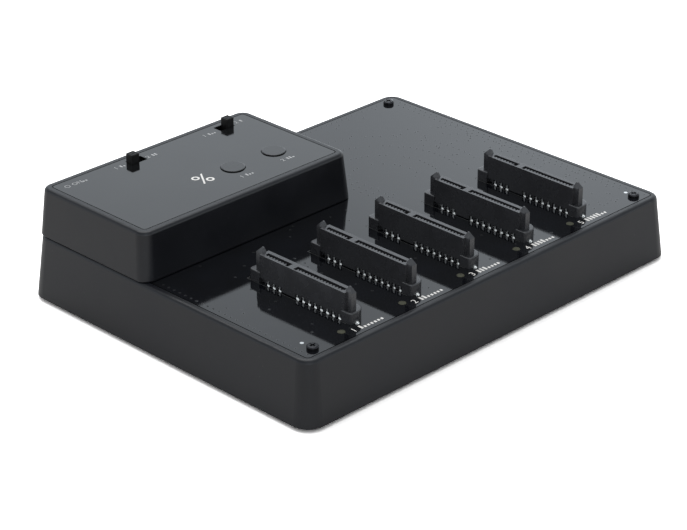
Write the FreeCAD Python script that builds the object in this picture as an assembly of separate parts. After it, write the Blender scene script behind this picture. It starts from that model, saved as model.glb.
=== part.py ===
# Five-port drive duplicator: a low desk unit with a drafted base, a main board as its whole top, five
# upright drive connectors, and a control box with two push buttons and two slide switches.
# Frame: X runs to the right along the front, Y to the back, Z up. The origin is the bottom centre, on the
# surface that the rubber feet stand on. All sizes are in millimetres.
import FreeCAD
import Part
import math
import os

Vector = FreeCAD.Vector

# Base shell
BASE_TOP_WIDTH = 161.3
BASE_TOP_DEPTH = 122.3
BASE_HEIGHT = 21.0
BASE_DRAFT = 2.3
BASE_CORNER_RADIUS = 4.8
BASE_CORNER_GROWTH = 1.3
BASE_WALL = 2.2
BASE_EDGE_FILLET = 1.3
RIM_WIDTH = 2.25
RIM_CORNER_RADIUS = 1.6
LEDGE_WIDTH = 3.6
LEDGE_THICKNESS = 2.0
PILLAR_RADIUS = 3.6
PILOT_DEPTH = 8.0
SHANK_GAP = 0.03

# Bottom plate, its screws and the rubber feet
PLATE_THICKNESS = 2.0
PLATE_RECESS = 0.4
PLATE_GAP = 0.2
PLATE_SCREW_HEAD_RADIUS = 2.3
PLATE_SCREW_HEAD_HEIGHT = 1.2
PLATE_SCREW_SHANK_RADIUS = 1.3
PLATE_SCREW_LENGTH = 7.0
COUNTERBORE_GAP = 0.2
FOOT_PROUD = 1.2
FOOT_RADIUS = 5.0
FOOT_INSET_X = 20.0
FOOT_INSET_Y = 16.0
FOOT_EDGE = 0.4

# Main board and its four screws
BOARD_THICKNESS = 1.6
BOARD_GAP = 0.3
BOARD_SCREW_INSET_X = 5.2
BOARD_SCREW_INSET_Y = 3.3
BOARD_HOLE_GAP = 0.15
SCREW_HEAD_RADIUS = 1.85
SCREW_HEAD_HEIGHT = 1.2
SCREW_HEAD_ROUND = 0.5
SCREW_SHANK_RADIUS = 1.15
SCREW_SHANK_LENGTH = 7.0
CROSS_ARM = 1.1
CROSS_WIDTH = 0.5
CROSS_DEPTH = 0.7

# Drive connectors. The contact row runs front to back: fifteen power contacts, a gap, seven signal ones.
PORT_COUNT = 5
PORT_PITCH = 25.64
FIRST_PORT_FROM_LEFT = 27.7
PORT_ROW_FROM_FRONT = 28.95
CONTACT_PITCH = 1.27
POWER_CONTACTS = 15
SIGNAL_CONTACTS = 7
SEGMENT_STEP = 6.35
SHELL_THICKNESS = 3.9
SHELL_LENGTH = 36.1
SHELL_TOP = 9.5
SHELL_STANDOFF = 0.3
SLOT_WIDTH = 1.2
SLOT_DEPTH = 6.6
SIGNAL_SLOT_LENGTH = 10.5
POWER_SLOT_LENGTH = 20.66
SLOT_END_MARGIN = 0.87
KEY_LENGTH = 1.3
KEY_WIDTH = 0.9
GROOVE_WIDTH = 0.6
GROOVE_DEPTH = 0.5
WINDOW_TOP = 1.75
WINDOW_WIDTH = 1.9
WINDOW_BACK_EXTRA = 2.3
POST_WIDTH = 2.0
POST_THICKNESS = 2.6
POST_FRONT_REACH = 1.95
POST_BACK_REACH = 2.5
POST_SHOULDER = 9.4
POST_TOP = 11.0
POST_TIP_WIDTH = 0.4
POST_TIP_THICKNESS = 0.6
POST_TIP_ASIDE = 0.3
POST_TIP_INWARD = 0.5
TOE_HEIGHT = 3.6
TOE_WIDTH = 6.5
TOE_PROUD = 0.25
TOE_FRONT_REACH = 2.9
TOE_BACK_REACH = 4.65
TOE_FRONT_OVERLAP = 1.1
TOE_BACK_OVERLAP = 0.25
TOE_NEAR_RADIUS = 1.1
TOE_FAR_RADIUS = 3.6
TOE_EDGE_FILLET = 0.35
PEG_RADIUS = 0.7
PEG_LENGTH = 1.5
PEG_GAP = 0.1

# Contacts and board locks of the connectors
CONTACT_WIDTH = 0.4
CONTACT_STRIP = 0.2
CONTACT_BACK_GAP = 0.05
CONTACT_DROP = 1.4
CONTACT_CREST = 0.3
CREST_HEIGHT = 6.6
CREST_HALF_SPAN = 0.8
ELBOW_TOP = 1.6
TAIL_INSET = 0.2
TAIL_SOLE = 0.3
LOCK_OFFSET_X = 0.15
LOCK_WIDTH = 1.1
LOCK_STRIP = 0.3
LOCK_HEIGHT = 0.7
LOCK_SOLE = 0.8

# Port lamps
LAMP_RADIUS = 1.2
LAMP_PROUD = 0.1
LAMP_HOLE_GAP = 0.05
LAMP_OFFSET_X = -7.0
LAMP_OFFSET_Y = -21.8

# Control box housing
BOX_WIDTH = 89.35
BOX_DEPTH = 52.1
BOX_HEIGHT = 16.1
BOX_DRAFT = 1.3
BOX_CORNER_RADIUS = 3.85
BOX_WALL = 2.0
BOX_EDGE_FILLET = 1.2
BOX_FOOT_FILLET = 0.4
BOX_DECK = 1.6
BOX_BOSS_RADIUS = 3.0
BOX_BOSS_INSET_X = 9.5
BOX_BOSS_FROM_FRONT = 12.0
BOX_BOSS_FROM_BACK = 15.0
BOX_SCREW_LENGTH = 7.5

# Glossy control panel
PANEL_THICKNESS = 1.0
PANEL_DROP = 0.02
PANEL_RIM = 2.35
PANEL_GAP = 0.3

# Push buttons. The places are measured from the front right corner of the control box.
BUTTON_RADIUS = 3.9
BUTTON_PROUD = 0.4
BUTTON_GAP = 0.2
BUTTON_TRAVEL = 0.5
BUTTON_EDGE = 0.2
BUTTON_FLANGE = 1.0
BUTTON_FLANGE_THICKNESS = 0.8
BUTTON_FLANGE_GAP = 0.1
BUTTON_STEM_RADIUS = 1.5
BUTTON_FROM_FRONT = 18.6
COPY_BUTTON_FROM_RIGHT = 35.6
MODE_BUTTON_FROM_RIGHT = 17.8

# Slide switches. The slot centres are measured from the right and back of the control box.
LEVER_WIDTH = 3.1
LEVER_DEPTH = 3.1
LEVER_PROUD = 3.0
LEVER_TRAVEL = 2.9
SLOT_END_GAP = 0.2
SLOT_SIDE_GAP = 0.25
SLOT_FROM_BACK = 7.5
LEFT_SLOT_FROM_RIGHT = 53.6
RIGHT_SLOT_FROM_RIGHT = 15.55
SWITCH_CAN_LENGTH = 12.0
SWITCH_CAN_DEPTH = 6.0
SWITCH_CAN_HEIGHT = 4.8
SWITCH_CAN_WALL = 0.5
SLIDER_LENGTH = 5.0
SLIDER_HEIGHT = 2.2
SLIDER_GAP = 0.15

# Control board with its parts
CONTROL_BOARD_THICKNESS = 1.6
CONTROL_BOARD_BELOW_DECK = 7.0
CONTROL_BOARD_INSET_X = 6.0
CONTROL_BOARD_INSET_Y = 4.0
CONTROL_BOSS_RADIUS = 2.4
CONTROL_BOSS_INSET_X = 20.0
CONTROL_BOSS_INSET_Y = 5.0
CONTROL_SCREW_HEAD_RADIUS = 1.9
CONTROL_SCREW_HEAD_HEIGHT = 1.2
CONTROL_SCREW_RADIUS = 0.9
CONTROL_SCREW_LENGTH = 6.0
PASS_GAP = 0.4
TACT_SIZE = 6.0
TACT_HEIGHT = 3.5
TACT_PLUNGER_RADIUS = 1.75
TACT_PLUNGER_GAP = 0.05
TACT_PLUNGER_DEPTH = 1.2
DISPLAY_LENGTH = 19.0
DISPLAY_DEPTH = 9.5
DISPLAY_FROM_RIGHT = 62.4
DISPLAY_BELOW_PANEL = 0.3
WINDOW_GAP = 0.3
POWER_LAMP_FROM_LEFT = 7.45
POWER_LAMP_FROM_BACK = 7.5
POWER_LAMP_SIZE = 2.0
POWER_LAMP_HEIGHT = 0.9
LIGHT_PIPE_RADIUS = 1.0
LIGHT_PIPE_COLLAR = 0.8
LIGHT_PIPE_GAP = 0.3

# Board-to-board link
LINK_PINS = 10
LINK_PITCH = 1.27
LINK_DEPTH = 4.6
LINK_FROM_RIGHT = 45.0
LINK_FROM_BACK = 20.0
LINK_SOCKET_HEIGHT = 2.8
LINK_PIN_SIDE = 0.4
LINK_PIN_REACH = 2.2
LINK_FACE_GAP = 0.2
LINK_HOLE_GAP = 0.1

# Power inlet and USB port in the back wall
JACK_FROM_RIGHT = 50.55
JACK_WIDTH = 9.0
JACK_DEPTH = 14.0
JACK_HEIGHT = 11.0
JACK_BARREL_RADIUS = 3.2
JACK_BARREL_DEPTH = 9.5
JACK_PIN_RADIUS = 1.0
JACK_PIN_SETBACK = 0.6
USB_FROM_RIGHT = 28.55
USB_WIDTH = 8.94
USB_HEIGHT = 3.26
USB_DEPTH = 7.35
USB_WALL = 0.3
USB_TONGUE_WIDTH = 6.7
USB_TONGUE_THICKNESS = 0.7
USB_TONGUE_SETBACK = 0.6
USB_BACK = 1.6
PORT_SETBACK = 0.4
PORT_CUT_GAP = 0.25

# Parts soldered under the main board
CONTROLLER_SIZE = 14.0
CONTROLLER_THICKNESS = 1.4
CONTROLLER_FROM_RIGHT = 44.85
CONTROLLER_FROM_FRONT = 24.9
MEMORY_LENGTH = 8.0
MEMORY_WIDTH = 5.2
MEMORY_THICKNESS = 1.5
MEMORY_OFFSET_X = 20.0
CRYSTAL_LENGTH = 5.0
CRYSTAL_WIDTH = 3.2
CRYSTAL_THICKNESS = 1.1
CRYSTAL_OFFSET_X = 14.0
BRIDGE_SIZE = 9.0
BRIDGE_THICKNESS = 0.9
BRIDGE_OFFSET_Y = 28.0
INDUCTOR_SIZE = 6.0
INDUCTOR_HEIGHT = 3.0
CAPACITOR_RADIUS = 3.15
CAPACITOR_HEIGHT = 7.0
SUPPLY_OFFSET_X = 5.5
SUPPLY_OFFSET_Y = 41.0

# Overrun of cutters past a face, smallest corner radius of an inset outline, and tolerance for edges
CUT = 1.0
LEAST_RADIUS = 1.0
EDGE_TOLERANCE = 1e-4

# Levels and outlines that follow from the sizes above
SHELL_Z = FOOT_PROUD
DECK_Z = SHELL_Z + BASE_HEIGHT
BOARD_LOW_Z = DECK_Z - BOARD_THICKNESS
LEDGE_LOW_Z = BOARD_LOW_Z - LEDGE_THICKNESS
PLATE_LOW_Z = SHELL_Z + PLATE_RECESS
PLATE_TOP_Z = PLATE_LOW_Z + PLATE_THICKNESS
HALF_WIDTH = BASE_TOP_WIDTH / 2
HALF_DEPTH = BASE_TOP_DEPTH / 2
FIRST_PORT_X = -HALF_WIDTH + FIRST_PORT_FROM_LEFT
PORT_ROW_Y = -HALF_DEPTH + PORT_ROW_FROM_FRONT
BOARD_HALF_X = HALF_WIDTH - RIM_WIDTH - BOARD_GAP
BOARD_HALF_Y = HALF_DEPTH - RIM_WIDTH - BOARD_GAP
SCREW_X = BOARD_HALF_X - BOARD_SCREW_INSET_X
SCREW_Y = BOARD_HALF_Y - BOARD_SCREW_INSET_Y

BOX_LEFT = -HALF_WIDTH
BOX_RIGHT = BOX_LEFT + BOX_WIDTH
BOX_BACK = HALF_DEPTH
BOX_FRONT = BOX_BACK - BOX_DEPTH
BOX_TOP_Z = DECK_Z + BOX_HEIGHT
PANEL_TOP_Z = BOX_TOP_Z - PANEL_DROP
PANEL_LOW_Z = PANEL_TOP_Z - PANEL_THICKNESS
BOX_DECK_LOW_Z = PANEL_LOW_Z - BOX_DECK
CONTROL_TOP_Z = BOX_DECK_LOW_Z - CONTROL_BOARD_BELOW_DECK
CONTROL_LOW_Z = CONTROL_TOP_Z - CONTROL_BOARD_THICKNESS
CONTROL_LEFT = BOX_LEFT + CONTROL_BOARD_INSET_X
CONTROL_RIGHT = BOX_RIGHT - CONTROL_BOARD_INSET_X
CONTROL_FRONT = BOX_FRONT + CONTROL_BOARD_INSET_Y
CONTROL_BACK = BOX_BACK - CONTROL_BOARD_INSET_Y

BUTTON_Y = BOX_FRONT + BUTTON_FROM_FRONT
COPY_BUTTON_X = BOX_RIGHT - COPY_BUTTON_FROM_RIGHT
MODE_BUTTON_X = BOX_RIGHT - MODE_BUTTON_FROM_RIGHT
SLOT_Y = BOX_BACK - SLOT_FROM_BACK
LEFT_SLOT_X = BOX_RIGHT - LEFT_SLOT_FROM_RIGHT
RIGHT_SLOT_X = BOX_RIGHT - RIGHT_SLOT_FROM_RIGHT
LEVER_SLOT_LENGTH = LEVER_WIDTH + LEVER_TRAVEL + 2 * SLOT_END_GAP
LEVER_SLOT_DEPTH = LEVER_DEPTH + 2 * SLOT_SIDE_GAP
DISPLAY_X = BOX_RIGHT - DISPLAY_FROM_RIGHT
PORT_FACE_Y = HALF_DEPTH - PORT_SETBACK
JACK_X = HALF_WIDTH - JACK_FROM_RIGHT
USB_X = HALF_WIDTH - USB_FROM_RIGHT
CONTROLLER_X = BOX_RIGHT - CONTROLLER_FROM_RIGHT
CONTROLLER_Y = BOX_FRONT + CONTROLLER_FROM_FRONT
POWER_LAMP_X = BOX_LEFT + POWER_LAMP_FROM_LEFT
POWER_LAMP_Y = BOX_BACK - POWER_LAMP_FROM_BACK
LINK_X = BOX_RIGHT - LINK_FROM_RIGHT
LINK_Y = BOX_BACK - LINK_FROM_BACK

ROW_LENGTH = (POWER_CONTACTS + SIGNAL_CONTACTS - 2) * CONTACT_PITCH + SEGMENT_STEP
SHELL_NEAR = -SHELL_THICKNESS / 2
SHELL_FAR = SHELL_THICKNESS / 2
SLOT_NEAR = -SLOT_WIDTH / 2
SLOT_FAR = SLOT_WIDTH / 2
SLOT_FLOOR = SHELL_TOP - SLOT_DEPTH
POWER_SLOT_FRONT = -ROW_LENGTH / 2 - SLOT_END_MARGIN
POWER_SLOT_BACK = POWER_SLOT_FRONT + POWER_SLOT_LENGTH
SIGNAL_SLOT_BACK = ROW_LENGTH / 2 + SLOT_END_MARGIN
SIGNAL_SLOT_FRONT = SIGNAL_SLOT_BACK - SIGNAL_SLOT_LENGTH
TOE_NEAR = SHELL_NEAR - TOE_PROUD
TOE_MIDDLE = TOE_NEAR + TOE_WIDTH / 2
TOE_FRONT = -SHELL_LENGTH / 2 - TOE_FRONT_REACH
TOE_FRONT_END = -SHELL_LENGTH / 2 + TOE_FRONT_OVERLAP
TOE_BACK_START = SHELL_LENGTH / 2 - TOE_BACK_OVERLAP
TOE_BACK = SHELL_LENGTH / 2 + TOE_BACK_REACH
CONTACT_NEAR = SLOT_NEAR - GROOVE_DEPTH + CONTACT_BACK_GAP
CONTACT_FAR = CONTACT_NEAR + CONTACT_STRIP


def box(x_low, x_high, y_low, y_high, z_low, z_high):
    """Return a block between two opposite corners."""
    size = (x_high - x_low, y_high - y_low, z_high - z_low)
    return Part.makeBox(*size, Vector(x_low, y_low, z_low))


def block_at(x, y, length, width, z_low, z_high):
    """Return an upright block about a centre."""
    return box(x - length / 2, x + length / 2, y - width / 2, y + width / 2, z_low, z_high)


def rod(x, y, z_low, z_high, radius):
    """Return an upright cylinder."""
    return Part.makeCylinder(radius, z_high - z_low, Vector(x, y, z_low))


def rectangle(x, y, z, width, depth):
    """Return a closed rectangle about a centre, lying at height z."""
    sides = [(-1, -1), (1, -1), (1, 1), (-1, 1), (-1, -1)]
    return Part.makePolygon([Vector(x + a * width / 2, y + b * depth / 2, z) for a, b in sides])


def outline(x_low, x_high, y_low, y_high, radius, z):
    """Return a closed rectangle with round corners, lying at height z."""
    centres = [
        (x_high - radius, y_low + radius),
        (x_high - radius, y_high - radius),
        (x_low + radius, y_high - radius),
        (x_low + radius, y_low + radius),
    ]
    arcs = []
    for turn, (x, y) in enumerate(centres):
        angles = [math.radians(90 * turn + step) for step in (-90, -45, 0)]
        points = [Vector(x + radius * math.cos(a), y + radius * math.sin(a), z) for a in angles]
        arcs.append(points)
    edges = []
    for points, following in zip(arcs, arcs[1:] + arcs[:1]):
        edges.append(Part.Arc(*points).toShape())
        edges.append(Part.makeLine(points[-1], following[0]))
    return Part.Wire(edges)


def plate(x_low, x_high, y_low, y_high, radius, z_low, z_high):
    """Return an upright block with round vertical corners."""
    face = Part.Face(outline(x_low, x_high, y_low, y_high, radius, z_low))
    return face.extrude(Vector(0, 0, z_high - z_low))


def drafted(low, high):
    """Return the solid between two outlines, each given as the arguments of outline."""
    return Part.makeLoft([outline(*low), outline(*high)], True, True)


def prism(points, y_low, y_high):
    """Return a solid whose outline in X and Z is the given points, running along Y."""
    corners = [Vector(x, y_low, z) for x, z in points]
    face = Part.Face(Part.makePolygon(corners + corners[:1]))
    return face.extrude(Vector(0, y_high - y_low, 0))


def fillet_at(solid, z, radius):
    """Round the edges that lie wholly at height z."""
    level = [e for e in solid.Edges if all(abs(v.Z - z) < EDGE_TOLERANCE for v in e.Vertexes)]
    return solid.makeFillet(radius, level)


def write(name, shapes):
    """Write one node as a STEP file: a single solid, or a group of separate solids."""
    shape = shapes[0] if len(shapes) == 1 else Part.makeCompound(shapes)
    shape.exportStep(os.path.join("parts", name + ".step"))


def corner_places(half_x, half_y):
    """Return the four corner places about the origin."""
    return [(side_x * half_x, side_y * half_y) for side_x in (-1, 1) for side_y in (-1, 1)]


def base_outline(z, inset):
    """Return the drafted base outline at height z, moved inwards by inset."""
    share = (DECK_Z - z) / BASE_HEIGHT
    half_x = HALF_WIDTH + BASE_DRAFT * share - inset
    half_y = HALF_DEPTH + BASE_DRAFT * share - inset
    radius = max(BASE_CORNER_RADIUS + BASE_CORNER_GROWTH * share - inset, LEAST_RADIUS)
    return (-half_x, half_x, -half_y, half_y, radius, z)


def box_outline(z, inset):
    """Return the drafted control box outline at height z, moved inwards by inset."""
    inward = BOX_DRAFT * (z - DECK_Z) / BOX_HEIGHT + inset
    radius = max(BOX_CORNER_RADIUS - inset, LEAST_RADIUS)
    return (BOX_LEFT + inward, BOX_RIGHT - inward, BOX_FRONT + inward, BOX_BACK - inward, radius, z)


def box_boss_places():
    """Return the places of the four screw bosses of the control box."""
    columns = (BOX_LEFT + BOX_BOSS_INSET_X, BOX_RIGHT - BOX_BOSS_INSET_X)
    rows = (BOX_FRONT + BOX_BOSS_FROM_FRONT, BOX_BACK - BOX_BOSS_FROM_BACK)
    return [(x, y) for x in columns for y in rows]


def control_boss_places():
    """Return the places of the four bosses that carry the control board."""
    columns = (CONTROL_LEFT + CONTROL_BOSS_INSET_X, CONTROL_RIGHT - CONTROL_BOSS_INSET_X)
    rows = (CONTROL_FRONT + CONTROL_BOSS_INSET_Y, CONTROL_BACK - CONTROL_BOSS_INSET_Y)
    return [(x, y) for x in columns for y in rows]


def port_places():
    """Return the contact row centre of each drive connector."""
    return [(FIRST_PORT_X + index * PORT_PITCH, PORT_ROW_Y) for index in range(PORT_COUNT)]


def cross_recess(x, y, z_top):
    """Return the cutter of a cross recess in a screw head."""
    half = CROSS_WIDTH / 2
    low = z_top - CROSS_DEPTH
    along_x = box(x - CROSS_ARM, x + CROSS_ARM, y - half, y + half, low, z_top + CUT)
    along_y = box(x - half, x + half, y - CROSS_ARM, y + CROSS_ARM, low, z_top + CUT)
    return along_x.fuse(along_y)


def upward_screw(x, y, seat_z, head_radius, head_height, shank_radius, length):
    """Return a screw driven upwards: its head hangs below seat_z and its shank rises above it."""
    head = rod(x, y, seat_z - head_height, seat_z, head_radius)
    shank = rod(x, y, seat_z - head_height / 2, seat_z + length, shank_radius)
    recess = cross_recess(x, y, seat_z)
    turned = recess.mirror(Vector(x, y, seat_z - head_height / 2), Vector(0, 0, 1))
    return head.fuse(shank).cut(turned).removeSplitter()


def make_base_shell():
    """Drafted walls with the rim, the ledge under the board and four corner pillars."""
    shell = drafted(base_outline(SHELL_Z, 0), base_outline(DECK_Z, 0))
    shell = fillet_at(shell, DECK_Z, BASE_EDGE_FILLET)
    cavity = drafted(base_outline(SHELL_Z - CUT, BASE_WALL), base_outline(LEDGE_LOW_Z, BASE_WALL))
    pocket_x = HALF_WIDTH - RIM_WIDTH
    pocket_y = HALF_DEPTH - RIM_WIDTH
    pocket = plate(-pocket_x, pocket_x, -pocket_y, pocket_y, RIM_CORNER_RADIUS, BOARD_LOW_Z, DECK_Z + CUT)
    well_x = pocket_x - LEDGE_WIDTH
    well_y = pocket_y - LEDGE_WIDTH
    well = plate(-well_x, well_x, -well_y, well_y, RIM_CORNER_RADIUS, LEDGE_LOW_Z - CUT, DECK_Z)
    shell = shell.cut(cavity).cut(well)
    for x, y in corner_places(SCREW_X, SCREW_Y):
        shell = shell.fuse(rod(x, y, PLATE_TOP_Z, BOARD_LOW_Z, PILLAR_RADIUS))
    shell = shell.cut(pocket)
    bores = []
    for x, y in corner_places(SCREW_X, SCREW_Y):
        top_bore = SCREW_SHANK_RADIUS + SHANK_GAP
        low_bore = PLATE_SCREW_SHANK_RADIUS + SHANK_GAP
        bores.append(rod(x, y, BOARD_LOW_Z - PILOT_DEPTH, BOARD_LOW_Z, top_bore))
        bores.append(rod(x, y, PLATE_TOP_Z, PLATE_TOP_Z + PILOT_DEPTH, low_bore))
    reach = PORT_SETBACK + BASE_DRAFT
    openings = [jack_block(PORT_CUT_GAP, reach), usb_block(PORT_CUT_GAP, reach)]
    return shell.cut(bores + openings).removeSplitter()


def make_bottom_plate():
    """Flat plate inside the wall's lower edge, with counterbored screw holes."""
    x_low, x_high, y_low, y_high, radius, _ = base_outline(PLATE_TOP_Z, BASE_WALL + PLATE_GAP)
    body = plate(x_low, x_high, y_low, y_high, radius, PLATE_LOW_Z, PLATE_TOP_Z)
    cutters = []
    for x, y in corner_places(SCREW_X, SCREW_Y):
        sink_top = PLATE_LOW_Z + PLATE_SCREW_HEAD_HEIGHT
        cutters.append(rod(x, y, PLATE_LOW_Z, sink_top, PLATE_SCREW_HEAD_RADIUS + COUNTERBORE_GAP))
        cutters.append(rod(x, y, sink_top, PLATE_TOP_Z, PLATE_SCREW_SHANK_RADIUS + COUNTERBORE_GAP))
    return body.cut(Part.makeCompound(cutters))


def make_plate_screws():
    """Screws from below into the corner pillars."""
    seat = PLATE_LOW_Z + PLATE_SCREW_HEAD_HEIGHT
    head = (PLATE_SCREW_HEAD_RADIUS, PLATE_SCREW_HEAD_HEIGHT)
    shank = (PLATE_SCREW_SHANK_RADIUS, PLATE_SCREW_LENGTH)
    return [upward_screw(x, y, seat, *head, *shank) for x, y in corner_places(SCREW_X, SCREW_Y)]


def make_feet():
    """Round rubber feet under the bottom plate."""
    feet = []
    for x, y in corner_places(HALF_WIDTH - FOOT_INSET_X, HALF_DEPTH - FOOT_INSET_Y):
        feet.append(fillet_at(rod(x, y, 0, PLATE_LOW_Z, FOOT_RADIUS), 0, FOOT_EDGE))
    return feet


def make_main_board():
    """Main board with its screw, lamp and peg holes."""
    radius = RIM_CORNER_RADIUS - BOARD_GAP
    board = plate(-BOARD_HALF_X, BOARD_HALF_X, -BOARD_HALF_Y, BOARD_HALF_Y, radius, BOARD_LOW_Z, DECK_Z)
    holes = []
    for x, y in corner_places(SCREW_X, SCREW_Y):
        holes.append(rod(x, y, BOARD_LOW_Z, DECK_Z, SCREW_SHANK_RADIUS + BOARD_HOLE_GAP))
    for x, y in box_boss_places():
        holes.append(rod(x, y, BOARD_LOW_Z, DECK_Z, SCREW_SHANK_RADIUS + BOARD_HOLE_GAP))
    for x, y in port_places():
        lamp = (x + LAMP_OFFSET_X, y + LAMP_OFFSET_Y)
        holes.append(rod(*lamp, BOARD_LOW_Z, DECK_Z, LAMP_RADIUS + LAMP_HOLE_GAP))
        for peg_x, peg_y in peg_places(x, y):
            holes.append(rod(peg_x, peg_y, BOARD_LOW_Z, DECK_Z, PEG_RADIUS + PEG_GAP))
    return board.cut(Part.makeCompound(holes))


def make_board_screws():
    """Pan head screws with a cross recess at the board's corners."""
    screws = []
    for x, y in corner_places(SCREW_X, SCREW_Y):
        top = DECK_Z + SCREW_HEAD_HEIGHT
        head = fillet_at(rod(x, y, DECK_Z, top, SCREW_HEAD_RADIUS), top, SCREW_HEAD_ROUND)
        shank = rod(x, y, DECK_Z - SCREW_SHANK_LENGTH, DECK_Z + SCREW_HEAD_HEIGHT / 4, SCREW_SHANK_RADIUS)
        screws.append(head.fuse(shank).cut(cross_recess(x, y, top)).removeSplitter())
    return screws


def contact_rows():
    """Return the Y place of each contact about the row's centre, from the front, with its tail's side."""
    places = [index * CONTACT_PITCH for index in range(POWER_CONTACTS)]
    first_signal = places[-1] + SEGMENT_STEP
    places += [first_signal + index * CONTACT_PITCH for index in range(SIGNAL_CONTACTS)]
    return [(place - ROW_LENGTH / 2, near_side(index)) for index, place in enumerate(places)]


def near_side(index):
    """Tell whether a contact's tail shows on the near side, as every second one does."""
    if index < POWER_CONTACTS:
        return index % 2 == 0
    return (index - POWER_CONTACTS) % 2 == 1


def peg_places(x, y):
    """Return the places of a connector's two locating pegs."""
    front = y + (TOE_FRONT + TOE_FRONT_END) / 2
    back = y + (TOE_BACK_START + TOE_BACK) / 2
    return [(x + TOE_MIDDLE, front), (x + TOE_MIDDLE, back)]


def make_post(x, y, end):
    """Guide post at one end of a connector, with a tapered top that leans inwards and to the far side."""
    reach = POST_FRONT_REACH if end < 0 else POST_BACK_REACH
    middle = y + end * (SHELL_LENGTH / 2 + reach - POST_THICKNESS / 2)
    foot = rectangle(x, middle, DECK_Z + SHELL_STANDOFF, POST_WIDTH, POST_THICKNESS)
    shoulder = rectangle(x, middle, DECK_Z + POST_SHOULDER, POST_WIDTH, POST_THICKNESS)
    tip_place = (x + POST_TIP_ASIDE, middle - end * POST_TIP_INWARD, DECK_Z + POST_TOP)
    tip = rectangle(*tip_place, POST_TIP_WIDTH, POST_TIP_THICKNESS)
    return Part.makeLoft([foot, shoulder], True, True).fuse(Part.makeLoft([shoulder, tip], True, True))


def toe_corner(x, y, inward, side):
    """Return three points of the arc that rounds a foot's corner, from its long side to its end."""
    radius = abs(inward)
    rest = 1 - math.sqrt(0.5)
    return [
        Vector(x, y - side * radius, DECK_Z),
        Vector(x + inward * rest, y - side * radius * rest, DECK_Z),
        Vector(x + inward, y, DECK_Z),
    ]


def make_toe(x, y_inner, y_outer):
    """Foot block of a connector, on the board, with round corners at its outer end and a soft top."""
    near = x + TOE_NEAR
    far = near + TOE_WIDTH
    side = math.copysign(1.0, y_outer - y_inner)
    far_arc = toe_corner(far, y_outer, -TOE_FAR_RADIUS, side)
    near_arc = toe_corner(near, y_outer, TOE_NEAR_RADIUS, side)[::-1]
    far_inner = Vector(far, y_inner, DECK_Z)
    near_inner = Vector(near, y_inner, DECK_Z)
    edges = [
        Part.makeLine(near_inner, far_inner),
        Part.makeLine(far_inner, far_arc[0]),
        Part.Arc(*far_arc).toShape(),
        Part.makeLine(far_arc[-1], near_arc[0]),
        Part.Arc(*near_arc).toShape(),
        Part.makeLine(near_arc[-1], near_inner),
    ]
    block = Part.Face(Part.Wire(edges)).extrude(Vector(0, 0, TOE_HEIGHT))
    return fillet_at(block, DECK_Z + TOE_HEIGHT, TOE_EDGE_FILLET)


def make_toes(x, y):
    """Feet of a connector at its front and back ends, with their pegs."""
    toes = [
        make_toe(x, y + TOE_FRONT_END, y + TOE_FRONT),
        make_toe(x, y + TOE_BACK_START, y + TOE_BACK),
    ]
    low = DECK_Z - PEG_LENGTH
    top = DECK_Z + TOE_HEIGHT - CUT
    return toes + [rod(peg_x, peg_y, low, top, PEG_RADIUS) for peg_x, peg_y in peg_places(x, y)]


def slot_cutters(x, y):
    """Return the two key-shaped slots and the contact grooves of a connector."""
    floor = DECK_Z + SLOT_FLOOR
    above = DECK_Z + SHELL_TOP + CUT
    key_near = x + SLOT_NEAR - KEY_WIDTH
    slot = (x + SLOT_NEAR, x + SLOT_FAR)
    key = (key_near, x + SLOT_NEAR)
    power_back = y + POWER_SLOT_BACK
    signal_front = y + SIGNAL_SLOT_FRONT
    cutters = [
        box(*slot, y + POWER_SLOT_FRONT, power_back, floor, above),
        box(*slot, signal_front, y + SIGNAL_SLOT_BACK, floor, above),
        box(*key, power_back - KEY_LENGTH, power_back, floor, above),
        box(*key, signal_front, signal_front + KEY_LENGTH, floor, above),
    ]
    half = GROOVE_WIDTH / 2
    for place, _ in contact_rows():
        groove_near = x + SLOT_NEAR - GROOVE_DEPTH
        cutters.append(box(groove_near, x + SLOT_NEAR, y + place - half, y + place + half, DECK_Z, above))
    return cutters


def window_cutters(x, y):
    """Return the windows at the foot of a connector that the contact tails come out of."""
    top = DECK_Z + WINDOW_TOP
    groove_far = x + SLOT_NEAR
    groove_near = groove_far - GROOVE_DEPTH
    cutters = []
    for place, near in contact_rows():
        half = WINDOW_WIDTH / 2 if near else GROOVE_WIDTH / 2
        low = x + SHELL_NEAR - CUT if near else groove_near
        high = groove_far if near else x + SHELL_FAR + CUT
        cutters.append(box(low, high, y + place - half, y + place + half, DECK_Z, top))
    back = y + ROW_LENGTH / 2
    cutters.append(box(x + SHELL_NEAR - CUT, groove_near, back, back + WINDOW_BACK_EXTRA, DECK_Z, top))
    return cutters


def make_connector(x, y):
    """Connector housing, standing upright on the board."""
    low = DECK_Z + SHELL_STANDOFF
    body = block_at(x, y, SHELL_THICKNESS, SHELL_LENGTH, low, DECK_Z + SHELL_TOP)
    body = body.fuse([make_post(x, y, -1), make_post(x, y, 1)] + make_toes(x, y)).removeSplitter()
    cutters = slot_cutters(x, y) + window_cutters(x, y)
    return body.cut(cutters)


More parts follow.
